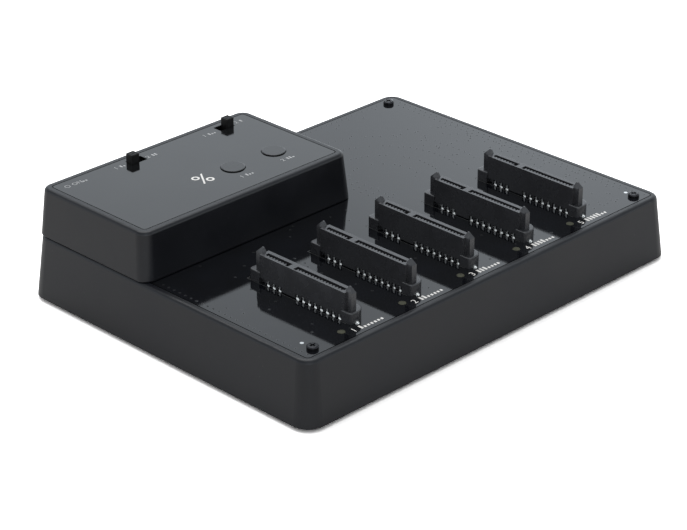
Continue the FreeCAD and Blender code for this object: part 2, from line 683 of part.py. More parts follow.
def contact_outline(x, near):
    """Return a contact's bent shape in X and Z: blade with a crest, elbow, tail and sole."""
    blade_near = x + CONTACT_NEAR
    blade_far = x + CONTACT_FAR
    top = DECK_Z + SHELL_TOP - CONTACT_DROP
    crest = DECK_Z + CREST_HEIGHT
    elbow_high = DECK_Z + ELBOW_TOP
    elbow_low = elbow_high - CONTACT_STRIP
    sole = DECK_Z + CONTACT_STRIP
    near_tail = x + SHELL_NEAR + TAIL_INSET
    far_tail = x + SHELL_FAR - TAIL_INSET
    head = [
        (blade_near, crest - CREST_HALF_SPAN),
        (blade_near + CONTACT_CREST, crest),
        (blade_near, top),
        (blade_far, top),
        (blade_far + CONTACT_CREST, crest),
        (blade_far, crest - CREST_HALF_SPAN),
    ]
    if near:
        tail = [
            (blade_far, elbow_low),
            (near_tail + CONTACT_STRIP, elbow_low),
            (near_tail + CONTACT_STRIP, DECK_Z),
            (near_tail - TAIL_SOLE, DECK_Z),
            (near_tail - TAIL_SOLE, sole),
            (near_tail, sole),
            (near_tail, elbow_high),
            (blade_near, elbow_high),
        ]
    else:
        tail = [
            (blade_far, elbow_high),
            (far_tail, elbow_high),
            (far_tail, sole),
            (far_tail + TAIL_SOLE, sole),
            (far_tail + TAIL_SOLE, DECK_Z),
            (far_tail - CONTACT_STRIP, DECK_Z),
            (far_tail - CONTACT_STRIP, elbow_low),
            (blade_near, elbow_low),
        ]
    return head + tail


def make_contacts(x, y):
    """All contacts of one connector."""
    half = CONTACT_WIDTH / 2
    contacts = []
    for place, near in contact_rows():
        contacts.append(prism(contact_outline(x, near), y + place - half, y + place + half))
    return contacts


def make_board_locks():
    """Bent metal tabs that solder each connector's ends to the board."""
    locks = []
    for x, y in port_places():
        low = x + LOCK_OFFSET_X - LOCK_WIDTH / 2
        high = x + LOCK_OFFSET_X + LOCK_WIDTH / 2
        for face, end in ((y + TOE_FRONT, -1), (y + TOE_BACK, 1)):
            upright = sorted((face, face + end * LOCK_STRIP))
            sole = sorted((face, face + end * LOCK_SOLE))
            tab = box(low, high, *upright, DECK_Z, DECK_Z + LOCK_HEIGHT)
            locks.append(tab.fuse(box(low, high, *sole, DECK_Z, DECK_Z + LOCK_STRIP)).removeSplitter())
    return locks


def make_port_lamps():
    """Round lamp lenses set in holes through the board."""
    lamps = []
    for x, y in port_places():
        centre = (x + LAMP_OFFSET_X, y + LAMP_OFFSET_Y)
        lamps.append(rod(*centre, BOARD_LOW_Z, DECK_Z + LAMP_PROUD, LAMP_RADIUS))
    return lamps


def lever_slot(x, z_low, z_high):
    """Return the straight slot that a switch lever moves in."""
    return block_at(x, SLOT_Y, LEVER_SLOT_LENGTH, LEVER_SLOT_DEPTH, z_low, z_high)


def panel_cutters(z_low, z_high):
    """Return the holes that the panel and the deck below it share."""
    radius = BUTTON_RADIUS + BUTTON_GAP
    holes = [rod(x, BUTTON_Y, z_low, z_high, radius) for x in (COPY_BUTTON_X, MODE_BUTTON_X)]
    return holes + [lever_slot(x, z_low, z_high) for x in (LEFT_SLOT_X, RIGHT_SLOT_X)]


def make_box_housing():
    """Control box: drafted walls, a deck under the panel, screw bosses and control board bosses."""
    housing = drafted(box_outline(DECK_Z, 0), box_outline(BOX_TOP_Z, 0))
    housing = fillet_at(housing, BOX_TOP_Z, BOX_EDGE_FILLET)
    housing = fillet_at(housing, DECK_Z, BOX_FOOT_FILLET)
    cavity = drafted(box_outline(DECK_Z - CUT, BOX_WALL), box_outline(BOX_DECK_LOW_Z, BOX_WALL))
    x_low, x_high, y_low, y_high, radius, _ = box_outline(BOX_TOP_Z, PANEL_RIM)
    recess = plate(x_low, x_high, y_low, y_high, radius, PANEL_LOW_Z, BOX_TOP_Z + CUT)
    housing = housing.cut(cavity).cut(recess)
    bosses = [rod(x, y, DECK_Z, PANEL_LOW_Z, BOX_BOSS_RADIUS) for x, y in box_boss_places()]
    bosses += [rod(x, y, CONTROL_TOP_Z, PANEL_LOW_Z, CONTROL_BOSS_RADIUS) for x, y in control_boss_places()]
    housing = housing.fuse(bosses)
    through = (BOX_DECK_LOW_Z - CUT, PANEL_LOW_Z + CUT)
    window = (DISPLAY_LENGTH + 2 * WINDOW_GAP, DISPLAY_DEPTH + 2 * WINDOW_GAP)
    cutters = panel_cutters(*through)
    cutters.append(block_at(DISPLAY_X, BUTTON_Y, *window, *through))
    cutters.append(rod(POWER_LAMP_X, POWER_LAMP_Y, *through, LIGHT_PIPE_RADIUS + SHANK_GAP))
    bore = SCREW_SHANK_RADIUS + SHANK_GAP
    cutters += [rod(x, y, DECK_Z, DECK_Z + PILOT_DEPTH, bore) for x, y in box_boss_places()]
    bore = CONTROL_SCREW_RADIUS + SHANK_GAP
    top = CONTROL_TOP_Z + CONTROL_SCREW_LENGTH
    cutters += [rod(x, y, CONTROL_TOP_Z, top, bore) for x, y in control_boss_places()]
    return housing.cut(cutters).removeSplitter()


def make_box_screws():
    """Screws from below, through the main board, that hold the control box down."""
    sizes = (SCREW_HEAD_RADIUS, SCREW_HEAD_HEIGHT, SCREW_SHANK_RADIUS, BOX_SCREW_LENGTH)
    return [upward_screw(x, y, BOARD_LOW_Z, *sizes) for x, y in box_boss_places()]


def make_panel():
    """Glossy inset panel with the holes for the buttons and levers."""
    x_low, x_high, y_low, y_high, radius, _ = box_outline(BOX_TOP_Z, PANEL_RIM + PANEL_GAP)
    panel = plate(x_low, x_high, y_low, y_high, radius, PANEL_LOW_Z, PANEL_TOP_Z)
    return panel.cut(panel_cutters(PANEL_LOW_Z - CUT, PANEL_TOP_Z + CUT))


def make_button(x):
    """Round push button cap with its retaining flange and stem."""
    top = PANEL_TOP_Z + BUTTON_PROUD
    flange_top = BOX_DECK_LOW_Z - BUTTON_FLANGE_GAP
    flange_low = flange_top - BUTTON_FLANGE_THICKNESS
    cap = fillet_at(rod(x, BUTTON_Y, flange_low, top, BUTTON_RADIUS), top, BUTTON_EDGE)
    flange = rod(x, BUTTON_Y, flange_low, flange_top, BUTTON_RADIUS + BUTTON_FLANGE)
    stem = rod(x, BUTTON_Y, plunger_top(), flange_top, BUTTON_STEM_RADIUS)
    return cap.fuse([flange, stem]).removeSplitter()


def plunger_top():
    """Return the height of a tact switch plunger's top at rest, where the button's stem meets it."""
    return CONTROL_TOP_Z + TACT_HEIGHT + BUTTON_TRAVEL + SLIDER_GAP


def make_tact_plunger(x):
    """Plunger of a tact switch."""
    low = CONTROL_TOP_Z + TACT_HEIGHT - TACT_PLUNGER_DEPTH + BUTTON_TRAVEL + SLIDER_GAP
    return rod(x, BUTTON_Y, low, plunger_top(), TACT_PLUNGER_RADIUS)


def make_tact_switch(x):
    """Square body of a tact switch with the well that its plunger sinks into."""
    top = CONTROL_TOP_Z + TACT_HEIGHT
    body = block_at(x, BUTTON_Y, TACT_SIZE, TACT_SIZE, CONTROL_TOP_Z, top)
    well_low = top - TACT_PLUNGER_DEPTH
    return body.cut(rod(x, BUTTON_Y, well_low, top + CUT, TACT_PLUNGER_RADIUS + TACT_PLUNGER_GAP))


def make_switch_can(x):
    """Hollow metal can of a slide switch, with the lever's slot in its top."""
    top = CONTROL_TOP_Z + SWITCH_CAN_HEIGHT
    wall = SWITCH_CAN_WALL
    can = block_at(x, SLOT_Y, SWITCH_CAN_LENGTH, SWITCH_CAN_DEPTH, CONTROL_TOP_Z, top)
    inside = (SWITCH_CAN_LENGTH - 2 * wall, SWITCH_CAN_DEPTH - 2 * wall)
    hollow = block_at(x, SLOT_Y, *inside, CONTROL_TOP_Z + wall, top - wall)
    return can.cut(hollow).cut(lever_slot(x, top - wall - CUT, top + CUT))


def make_lever(slot_x, side):
    """Switch lever at one end of its slot, with the slider block inside the can."""
    x = slot_x + side * LEVER_TRAVEL / 2
    floor = CONTROL_TOP_Z + SWITCH_CAN_WALL + SLIDER_GAP
    stick = block_at(x, SLOT_Y, LEVER_WIDTH, LEVER_DEPTH, floor, PANEL_TOP_Z + LEVER_PROUD)
    slider_depth = SWITCH_CAN_DEPTH - 2 * (SWITCH_CAN_WALL + SLIDER_GAP)
    slider = block_at(x, SLOT_Y, SLIDER_LENGTH, slider_depth, floor, floor + SLIDER_HEIGHT)
    return stick.fuse(slider).removeSplitter()


def make_control_board():
    """Control board, with holes for the box bosses to pass and for its own screws."""
    board = box(CONTROL_LEFT, CONTROL_RIGHT, CONTROL_FRONT, CONTROL_BACK, CONTROL_LOW_Z, CONTROL_TOP_Z)
    span = (CONTROL_LOW_Z, CONTROL_TOP_Z)
    holes = [rod(x, y, *span, BOX_BOSS_RADIUS + PASS_GAP) for x, y in box_boss_places()]
    radius = CONTROL_SCREW_RADIUS + BOARD_HOLE_GAP
    holes += [rod(x, y, *span, radius) for x, y in control_boss_places()]
    return board.cut(holes)


def make_control_screws():
    """Screws from below into the bosses that carry the control board."""
    head = (CONTROL_SCREW_HEAD_RADIUS, CONTROL_SCREW_HEAD_HEIGHT)
    shank = (CONTROL_SCREW_RADIUS, CONTROL_SCREW_LENGTH)
    return [upward_screw(x, y, CONTROL_LOW_Z, *head, *shank) for x, y in control_boss_places()]


def make_display():
    """Percent display module that stands on the control board behind the smoked panel."""
    top = PANEL_LOW_Z - DISPLAY_BELOW_PANEL
    return block_at(DISPLAY_X, BUTTON_Y, DISPLAY_LENGTH, DISPLAY_DEPTH, CONTROL_TOP_Z, top)


def make_power_lamp():
    """Small square lamp on the control board."""
    top = CONTROL_TOP_Z + POWER_LAMP_HEIGHT
    return block_at(POWER_LAMP_X, POWER_LAMP_Y, POWER_LAMP_SIZE, POWER_LAMP_SIZE, CONTROL_TOP_Z, top)


def make_light_pipe():
    """Clear rod from above the power lamp to the panel's underside, with a collar under the deck."""
    low = CONTROL_TOP_Z + POWER_LAMP_HEIGHT + LIGHT_PIPE_GAP
    pipe = rod(POWER_LAMP_X, POWER_LAMP_Y, low, PANEL_LOW_Z, LIGHT_PIPE_RADIUS)
    collar_low = BOX_DECK_LOW_Z - LIGHT_PIPE_COLLAR
    collar_radius = LIGHT_PIPE_RADIUS + LIGHT_PIPE_COLLAR
    collar = rod(POWER_LAMP_X, POWER_LAMP_Y, collar_low, BOX_DECK_LOW_Z, collar_radius)
    return pipe.fuse(collar)


def link_places():
    """Return the places of the pins of the board-to-board link, in two rows."""
    first = LINK_X - (LINK_PINS - 1) * LINK_PITCH / 2
    rows = (LINK_Y - LINK_PITCH / 2, LINK_Y + LINK_PITCH / 2)
    return [(first + index * LINK_PITCH, y) for index in range(LINK_PINS) for y in rows]


def link_block(z_low, z_high):
    """Return the insulator block of one half of the link."""
    length = (LINK_PINS + 1) * LINK_PITCH
    return block_at(LINK_X, LINK_Y, length, LINK_DEPTH, z_low, z_high)


def make_link_socket():
    """Link socket on the main board."""
    top = DECK_Z + LINK_SOCKET_HEIGHT
    side = LINK_PIN_SIDE + 2 * LINK_HOLE_GAP
    low = top + LINK_FACE_GAP - LINK_PIN_REACH - LINK_HOLE_GAP
    return link_block(DECK_Z, top).cut([block_at(x, y, side, side, low, top) for x, y in link_places()])


def make_link_plug():
    """Link plug under the control board, with its pins in the socket."""
    low = DECK_Z + LINK_SOCKET_HEIGHT + LINK_FACE_GAP
    side = LINK_PIN_SIDE
    pins = [block_at(x, y, side, side, low - LINK_PIN_REACH, low) for x, y in link_places()]
    return link_block(low, CONTROL_LOW_Z).fuse(pins).removeSplitter()


def jack_block(gap, reach):
    """Return the power inlet's block, grown by gap and carried outwards by reach."""
    half = JACK_WIDTH / 2 + gap
    low = BOARD_LOW_Z - JACK_HEIGHT - gap
    back = PORT_FACE_Y - JACK_DEPTH - gap
    return box(JACK_X - half, JACK_X + half, back, PORT_FACE_Y + reach, low, BOARD_LOW_Z)


def make_jack():
    """Power inlet under the board's back edge, with its round mouth."""
    centre = Vector(JACK_X, PORT_FACE_Y + CUT, BOARD_LOW_Z - JACK_HEIGHT / 2)
    barrel = Part.makeCylinder(JACK_BARREL_RADIUS, JACK_BARREL_DEPTH + CUT, centre, Vector(0, -1, 0))
    return jack_block(0, 0).cut(barrel)


def make_jack_pin():
    """Centre pin of the power inlet."""
    root = Vector(JACK_X, PORT_FACE_Y - JACK_BARREL_DEPTH, BOARD_LOW_Z - JACK_HEIGHT / 2)
    length = JACK_BARREL_DEPTH - JACK_PIN_SETBACK
    pin = Part.makeCylinder(JACK_PIN_RADIUS, length, root, Vector(0, 1, 0))
    tip_y = root.y + length
    tip = [e for e in pin.Edges if all(abs(v.Y - tip_y) < EDGE_TOLERANCE for v in e.Vertexes)]
    return pin.makeFillet(JACK_PIN_RADIUS / 2, tip)


def usb_block(gap, reach):
    """Return the USB port's block, grown by gap and carried outwards by reach."""
    half = USB_WIDTH / 2 + gap
    low = BOARD_LOW_Z - USB_HEIGHT - gap
    back = PORT_FACE_Y - USB_DEPTH - gap
    return box(USB_X - half, USB_X + half, back, PORT_FACE_Y + reach, low, BOARD_LOW_Z)


def rounded_bar(x, half_width, z_low, z_high, y_low, y_high):
    """Return a bar along Y whose section has fully round sides."""
    radius = (z_high - z_low) / 2
    middle = (z_high + z_low) / 2
    bar = box(x - half_width + radius, x + half_width - radius, y_low, y_high, z_low, z_high)
    ends = []
    for side in (-1, 1):
        start = Vector(x + side * (half_width - radius), y_low, middle)
        ends.append(Part.makeCylinder(radius, y_high - y_low, start, Vector(0, 1, 0)))
    return bar.fuse(ends).removeSplitter()


def make_usb_shell():
    """Metal shell of the USB-C port, closed at its back."""
    low = BOARD_LOW_Z - USB_HEIGHT
    back = PORT_FACE_Y - USB_DEPTH
    wall = USB_WALL
    outer = rounded_bar(USB_X, USB_WIDTH / 2, low, BOARD_LOW_Z, back, PORT_FACE_Y)
    inside = (USB_WIDTH / 2 - wall, low + wall, BOARD_LOW_Z - wall)
    return outer.cut(rounded_bar(USB_X, *inside, back + USB_BACK, PORT_FACE_Y + CUT))


def make_usb_tongue():
    """Contact tongue in the middle of the USB-C port."""
    middle = BOARD_LOW_Z - USB_HEIGHT / 2
    half_x = USB_TONGUE_WIDTH / 2
    half_z = USB_TONGUE_THICKNESS / 2
    back = PORT_FACE_Y - USB_DEPTH + USB_BACK
    front = PORT_FACE_Y - USB_TONGUE_SETBACK
    return box(USB_X - half_x, USB_X + half_x, back, front, middle - half_z, middle + half_z)


def hanging_block(x, y, length, width, thickness):
    """Return a flat part soldered under the main board."""
    return block_at(x, y, length, width, BOARD_LOW_Z - thickness, BOARD_LOW_Z)


def make_controller_chip():
    """Controller chip."""
    return hanging_block(CONTROLLER_X, CONTROLLER_Y, CONTROLLER_SIZE, CONTROLLER_SIZE, CONTROLLER_THICKNESS)


def make_memory_chip():
    """Memory chip beside the controller."""
    x = CONTROLLER_X + MEMORY_OFFSET_X
    return hanging_block(x, CONTROLLER_Y, MEMORY_LENGTH, MEMORY_WIDTH, MEMORY_THICKNESS)


def make_crystal():
    """Clock crystal beside the controller."""
    x = CONTROLLER_X - CRYSTAL_OFFSET_X
    return hanging_block(x, CONTROLLER_Y, CRYSTAL_LENGTH, CRYSTAL_WIDTH, CRYSTAL_THICKNESS)


def make_bridges():
    """Bridge chip behind each connector."""
    sizes = (BRIDGE_SIZE, BRIDGE_SIZE, BRIDGE_THICKNESS)
    return [hanging_block(x, y + BRIDGE_OFFSET_Y, *sizes) for x, y in port_places()]


def make_inductors():
    """Power inductor of each port."""
    sizes = (INDUCTOR_SIZE, INDUCTOR_SIZE, INDUCTOR_HEIGHT)
    return [hanging_block(x - SUPPLY_OFFSET_X, y + SUPPLY_OFFSET_Y, *sizes) for x, y in port_places()]


def make_capacitors():
    """Bulk capacitor of each port."""
    low = BOARD_LOW_Z - CAPACITOR_HEIGHT
    places = [(x + SUPPLY_OFFSET_X, y + SUPPLY_OFFSET_Y) for x, y in port_places()]
    return [rod(x, y, low, BOARD_LOW_Z, CAPACITOR_RADIUS) for x, y in places]


def main():
    """Build every piece and write it under its own name."""
    os.makedirs("parts", exist_ok=True)
    write("base_shell", [make_base_shell()])
    write("bottom_plate", [make_bottom_plate()])
    write("bottom_plate_screws", make_plate_screws())
    write("rubber_feet", make_feet())
    write("main_board", [make_main_board()])
    write("board_screws", make_board_screws())
    for number, (x, y) in enumerate(port_places(), start=1):
        write(f"drive_connector_{number}", [make_connector(x, y)])
        write(f"drive_contacts_{number}", make_contacts(x, y))
    write("connector_board_locks", make_board_locks())
    write("port_lamps", make_port_lamps())
    write("control_box_housing", [make_box_housing()])
    write("control_box_screws", make_box_screws())
    write("control_panel", [make_panel()])
    write("control_board", [make_control_board()])
    write("control_board_screws", make_control_screws())
    for name, x in (("copy", COPY_BUTTON_X), ("mode", MODE_BUTTON_X)):
        write(f"{name}_button", [make_button(x)])
        write(f"{name}_tact_plunger", [make_tact_plunger(x)])
        write(f"{name}_tact_switch", [make_tact_switch(x)])
    for name, x, side in (("left", LEFT_SLOT_X, -1), ("right", RIGHT_SLOT_X, 1)):
        write(f"{name}_switch_can", [make_switch_can(x)])
        write(f"{name}_switch_lever", [make_lever(x, side)])
    write("percent_display", [make_display()])
    write("power_lamp", [make_power_lamp()])
    write("power_light_pipe", [make_light_pipe()])
    write("board_link_socket", [make_link_socket()])
    write("board_link_plug", [make_link_plug()])
    write("power_inlet", [make_jack()])
    write("power_inlet_pin", [make_jack_pin()])
    write("usb_port_shell", [make_usb_shell()])
    write("usb_port_tongue", [make_usb_tongue()])
    write("controller_chip", [make_controller_chip()])
    write("memory_chip", [make_memory_chip()])
    write("clock_crystal", [make_crystal()])
    write("bridge_chips", make_bridges())
    write("power_inductors", make_inductors())
    write("bulk_capacitors", make_capacitors())


main()
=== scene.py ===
"""Looks of a five-port drive duplicator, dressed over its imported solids.

The unit is a low desk box whose top is a glossy circuit board with five upright drive connectors, and a
control box with push buttons and slide switches. All lengths are in metres, in the frame of the solids:
X to the right, Y to the back, Z up, with the floor at zero.
"""

import logging
import math
import random
from dataclasses import dataclass
from enum import Enum
from typing import Callable, Sequence

import bpy
from mathutils import Matrix, Vector


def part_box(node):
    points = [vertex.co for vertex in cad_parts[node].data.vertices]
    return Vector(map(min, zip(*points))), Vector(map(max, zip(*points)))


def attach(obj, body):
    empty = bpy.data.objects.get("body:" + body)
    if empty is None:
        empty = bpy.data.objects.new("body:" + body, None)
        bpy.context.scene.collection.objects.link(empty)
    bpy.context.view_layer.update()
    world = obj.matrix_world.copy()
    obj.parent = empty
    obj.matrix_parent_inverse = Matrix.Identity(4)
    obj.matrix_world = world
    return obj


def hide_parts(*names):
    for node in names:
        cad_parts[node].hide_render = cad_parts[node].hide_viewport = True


Color = tuple[float, float, float]
Pair = tuple[float, float]
Steps = tuple[Pair, ...]
Piece = bpy.types.Object
Node = bpy.types.Node
NodeTree = bpy.types.NodeTree
Socket = bpy.types.NodeSocket

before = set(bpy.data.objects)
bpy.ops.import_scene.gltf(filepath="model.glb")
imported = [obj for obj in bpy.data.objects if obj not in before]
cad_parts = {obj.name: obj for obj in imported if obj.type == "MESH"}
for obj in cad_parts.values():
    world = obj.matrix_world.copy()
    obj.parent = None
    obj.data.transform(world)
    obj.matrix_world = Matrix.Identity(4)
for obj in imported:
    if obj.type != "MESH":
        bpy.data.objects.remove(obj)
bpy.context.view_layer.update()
LOG = logging.getLogger("drive_duplicator")
MM = 0.001
CHASSIS = "chassis"
PORTS = range(1, 6)
FULL: Pair = (0.0, 1.0)


class Effect(Enum):
    """The shader node groups that finishes share."""

    GRAIN = "Moulded grain"
    MOTTLE = "Soft mottle"
    DUST = "Fine dust"
    BRUSHING = "Brushing"


def opaque(color: Color) -> tuple[float, float, float, float]:
    """Return a colour with full cover, as shader sockets take it."""
    return (*color, 1.0)


class Sheet:
    """A node tree with short ways to add nodes and join them."""

    def __init__(self, tree: NodeTree) -> None:
        """Keep the tree that nodes are added to."""
        self.tree = tree

    def add(self, kind: str, inputs: dict[str | int, object] | None = None, **settings: object) -> Node:
        """Add one node.

        Args:
            kind: The node's type.
            inputs: Socket name or number to a value, or to an output socket to join it to.
            settings: Properties of the node itself.

        Returns:
            The new node.
        """
        node = self.tree.nodes.new(kind)
        for name, value in settings.items():
            setattr(node, name, value)
        self.feed(node, inputs or {})
        return node

    def feed(self, node: Node, inputs: dict[str | int, object]) -> None:
        """Set inputs of a node, each to a value or to an output socket that it is joined to."""
        for name, value in inputs.items():
            if isinstance(value, Socket):
                self.tree.links.new(value, node.inputs[name])
            else:
                node.inputs[name].default_value = value

    def mix(self, factor: object, low: object, high: object) -> Socket:
        """Mix two colours and return the result. The numbers are the mix node's colour sockets."""
        node = self.add("ShaderNodeMix", {0: factor, 6: low, 7: high}, data_type="RGBA")
        return node.outputs[2]

    def math(self, operation: str, *values: object) -> Socket:
        """Work out one operation on one to three values and return the result."""
        node = self.add("ShaderNodeMath", dict(enumerate(values)), operation=operation)
        return node.outputs[0]

    def span(self, value: object, source: Pair, target: Pair) -> Socket:
        """Carry a value from one span to another, held at the ends, and return the result."""
        limits = {"From Min": source[0], "From Max": source[1], "To Min": target[0], "To Max": target[1]}
        return self.add("ShaderNodeMapRange", {"Value": value, **limits}).outputs["Result"]

    def effect(self, effect: Effect, **inputs: object) -> Node:
        """Place one of the shared effect groups and set its inputs."""
        node = self.add("ShaderNodeGroup", node_tree=effect_groups()[effect])
        self.feed(node, {name.replace("_", " "): value for name, value in inputs.items()})
        return node


def blank_sheet(owner: bpy.types.Material | bpy.types.World) -> Sheet:
    """Empty the node tree of a material or world and return its sheet."""
    owner.use_nodes = True
    owner.node_tree.nodes.clear()
    return Sheet(owner.node_tree)


def new_group(
    effect: Effect, inputs: Sequence[tuple[str, str, object]], outputs: Sequence[tuple[str, str]]
) -> tuple[Sheet, Node, Node]:
    """Start a shader node group.

    Args:
        effect: The effect that the group makes.
        inputs: Name, kind (Float, Color or Vector) and default of each input.
        outputs: Name and kind of each output.

    Returns:
        The group's sheet, its input node and its output node.
    """
    tree = bpy.data.node_groups.new(effect.value, "ShaderNodeTree")
    for name, kind, default in inputs:
        socket = tree.interface.new_socket(name, in_out="INPUT", socket_type=f"NodeSocket{kind}")
        if default is not None:
            socket.default_value = default
    for name, kind in outputs:
        tree.interface.new_socket(name, in_out="OUTPUT", socket_type=f"NodeSocket{kind}")
    sheet = Sheet(tree)
    return sheet, sheet.add("NodeGroupInput"), sheet.add("NodeGroupOutput")


def make_grain() -> NodeTree:
    """Fine spark-eroded grain of a mould: small pits over a slower unevenness."""
    slowness = 0.13
    slow_depth = 0.6
    sheet, given, result = new_group(
        Effect.GRAIN, [("Vector", "Vector", None), ("Size", "Float", MM)], [("Height", "Float")]
    )
    place = given.outputs["Vector"]
    scale = sheet.math("DIVIDE", 1.0, given.outputs["Size"])
    pits = sheet.add("ShaderNodeTexNoise", {"Vector": place, "Scale": scale, "Detail": 3.0})
    slow_scale = sheet.math("MULTIPLY", scale, slowness)
    slow = sheet.add("ShaderNodeTexNoise", {"Vector": place, "Scale": slow_scale})
    height = sheet.math("MULTIPLY_ADD", slow.outputs[0], slow_depth, pits.outputs[0])
    sheet.feed(result, {"Height": height})
    return sheet.tree


def make_mottle() -> NodeTree:
    """Slow clouds in a colour, lighter and richer than it, with a mask for the roughness."""
    cloud_edge = (0.35, 0.65)
    lighter = 1.5
    richer = 1.3
    sheet, given, result = new_group(
        Effect.MOTTLE,
        [
            ("Vector", "Vector", None), ("Size", "Float", 20 * MM),
            ("Color", "Color", None), ("Amount", "Float", 0.1),
        ],
        [("Color", "Color"), ("Mask", "Float")],
    )
    color = given.outputs["Color"]
    scale = sheet.math("DIVIDE", 1.0, given.outputs["Size"])
    noise = {"Vector": given.outputs["Vector"], "Scale": scale, "Detail": 4.0}
    mask = sheet.span(sheet.add("ShaderNodeTexNoise", noise).outputs[0], cloud_edge, FULL)
    strength = sheet.math("MULTIPLY", mask, given.outputs["Amount"])
    cloud = sheet.add("ShaderNodeHueSaturation", {"Value": lighter, "Saturation": richer, "Color": color})
    sheet.feed(result, {"Color": sheet.mix(strength, color, cloud.outputs[0]), "Mask": mask})
    return sheet.tree


def make_dust() -> NodeTree:
    """Sparse small specks."""
    speck_edge = (0.04, 0.1)
    bare_share = 0.7
    sheet, given, result = new_group(
        Effect.DUST,
        [("Vector", "Vector", None), ("Size", "Float", 2 * MM), ("Amount", "Float", 0.2)],
        [("Mask", "Float")],
    )
    scale = sheet.math("DIVIDE", 1.0, given.outputs["Size"])
    cells = sheet.add("ShaderNodeTexVoronoi", {"Vector": given.outputs["Vector"], "Scale": scale})
    speck = sheet.span(cells.outputs["Distance"], speck_edge, (1.0, 0.0))
    chance = sheet.add("ShaderNodeSeparateColor", {0: cells.outputs["Color"]}).outputs[0]
    kept = sheet.math("GREATER_THAN", chance, bare_share)
    mask = sheet.math("MULTIPLY", sheet.math("MULTIPLY", speck, kept), given.outputs["Amount"])
    sheet.feed(result, {"Mask": mask})
    return sheet.tree


def make_brushing() -> NodeTree:
    """Fine lines along one direction, from noise drawn out along the axis with the smallest stretch."""
    sheet, given, result = new_group(
        Effect.BRUSHING, [("Vector", "Vector", None), ("Stretch", "Vector", None)], [("Height", "Float")]
    )
    ends = {0: given.outputs["Vector"], 1: given.outputs["Stretch"]}
    drawn = sheet.add("ShaderNodeVectorMath", ends, operation="MULTIPLY")
    lines = sheet.add("ShaderNodeTexNoise", {"Vector": drawn.outputs[0], "Scale": 1.0, "Detail": 2.0})
    sheet.feed(result, {"Height": lines.outputs[0]})
    return sheet.tree


def effect_groups() -> dict[Effect, NodeTree]:
    """Return the shared groups, made at the first call."""
    makers = {
        Effect.GRAIN: make_grain,
        Effect.MOTTLE: make_mottle,
        Effect.DUST: make_dust,
        Effect.BRUSHING: make_brushing,
    }
    found = {effect: bpy.data.node_groups.get(effect.value) for effect in makers}
    return {effect: group or makers[effect]() for effect, group in found.items()}


@dataclass(frozen=True)
class Finish:
    """What every finish has: a name, a colour and a roughness."""

    name: str
    color: Color
    roughness: float

    def start(self) -> tuple[bpy.types.Material, Sheet, Socket, Node]:
        """Make an empty material.

        Returns:
            The material, its sheet, the object's coordinates and the surface shader.
        """
        material = bpy.data.materials.new(self.name)
        sheet = blank_sheet(material)
        place = sheet.add("ShaderNodeTexCoord").outputs["Object"]
        plain = {"Base Color": opaque(self.color), "Roughness": self.roughness}
        shader = sheet.add("ShaderNodeBsdfPrincipled", plain)
        sheet.add("ShaderNodeOutputMaterial", {0: shader.outputs[0]})
        return material, sheet, place, shader

    def clouds(self, sheet: Sheet, place: Socket, size: float, amount: float) -> Node:
        """Place soft clouds in the finish's own colour."""
        return sheet.effect(Effect.MOTTLE, Vector=place, Size=size, Color=opaque(self.color), Amount=amount)

    def uneven(self, sheet: Sheet, mask: Socket, shares: Pair) -> Socket:
        """Spread the roughness by a mask, between two shares of the finish's own roughness."""
        return sheet.span(mask, FULL, (self.roughness * shares[0], self.roughness * shares[1]))

    def build(self) -> bpy.types.Material:
        """Make the material. Each finish has its own way."""
        raise NotImplementedError


@dataclass(frozen=True)
class Plastic(Finish):
    """Moulded or lacquered plastic, with grain, clouds in its colour, and a little dust."""

    grain_size: float = 0.25 * MM
    grain_depth: float = 0.008 * MM
    cloud_size: float = 22 * MM
    cloud_amount: float = 0.3
    roughness_spread: float = 0.05
    dust_color: Color = (0.5, 0.5, 0.48)
    dust_amount: float = 0.03
    dust_size: float = 3 * MM
    ior: float = 1.5
    specular: float = 0.5

    def build(self) -> bpy.types.Material:
        """Make the material."""
        material, sheet, place, shader = self.start()
        cloud = self.clouds(sheet, place, self.cloud_size, self.cloud_amount)
        dust = sheet.effect(Effect.DUST, Vector=place, Size=self.dust_size, Amount=self.dust_amount)
        low = self.roughness - self.roughness_spread
        high = self.roughness + self.roughness_spread
        grain = sheet.effect(Effect.GRAIN, Vector=place, Size=self.grain_size)
        bump = sheet.add("ShaderNodeBump", {"Height": grain.outputs["Height"], "Distance": self.grain_depth})
        sheet.feed(shader, {
            "Base Color": sheet.mix(dust.outputs["Mask"], cloud.outputs["Color"], opaque(self.dust_color)),
            "Roughness": sheet.span(cloud.outputs["Mask"], FULL, (low, high)),
            "Normal": bump.outputs[0],
            "IOR": self.ior,
            "Specular IOR Level": self.specular,
        })
        return material


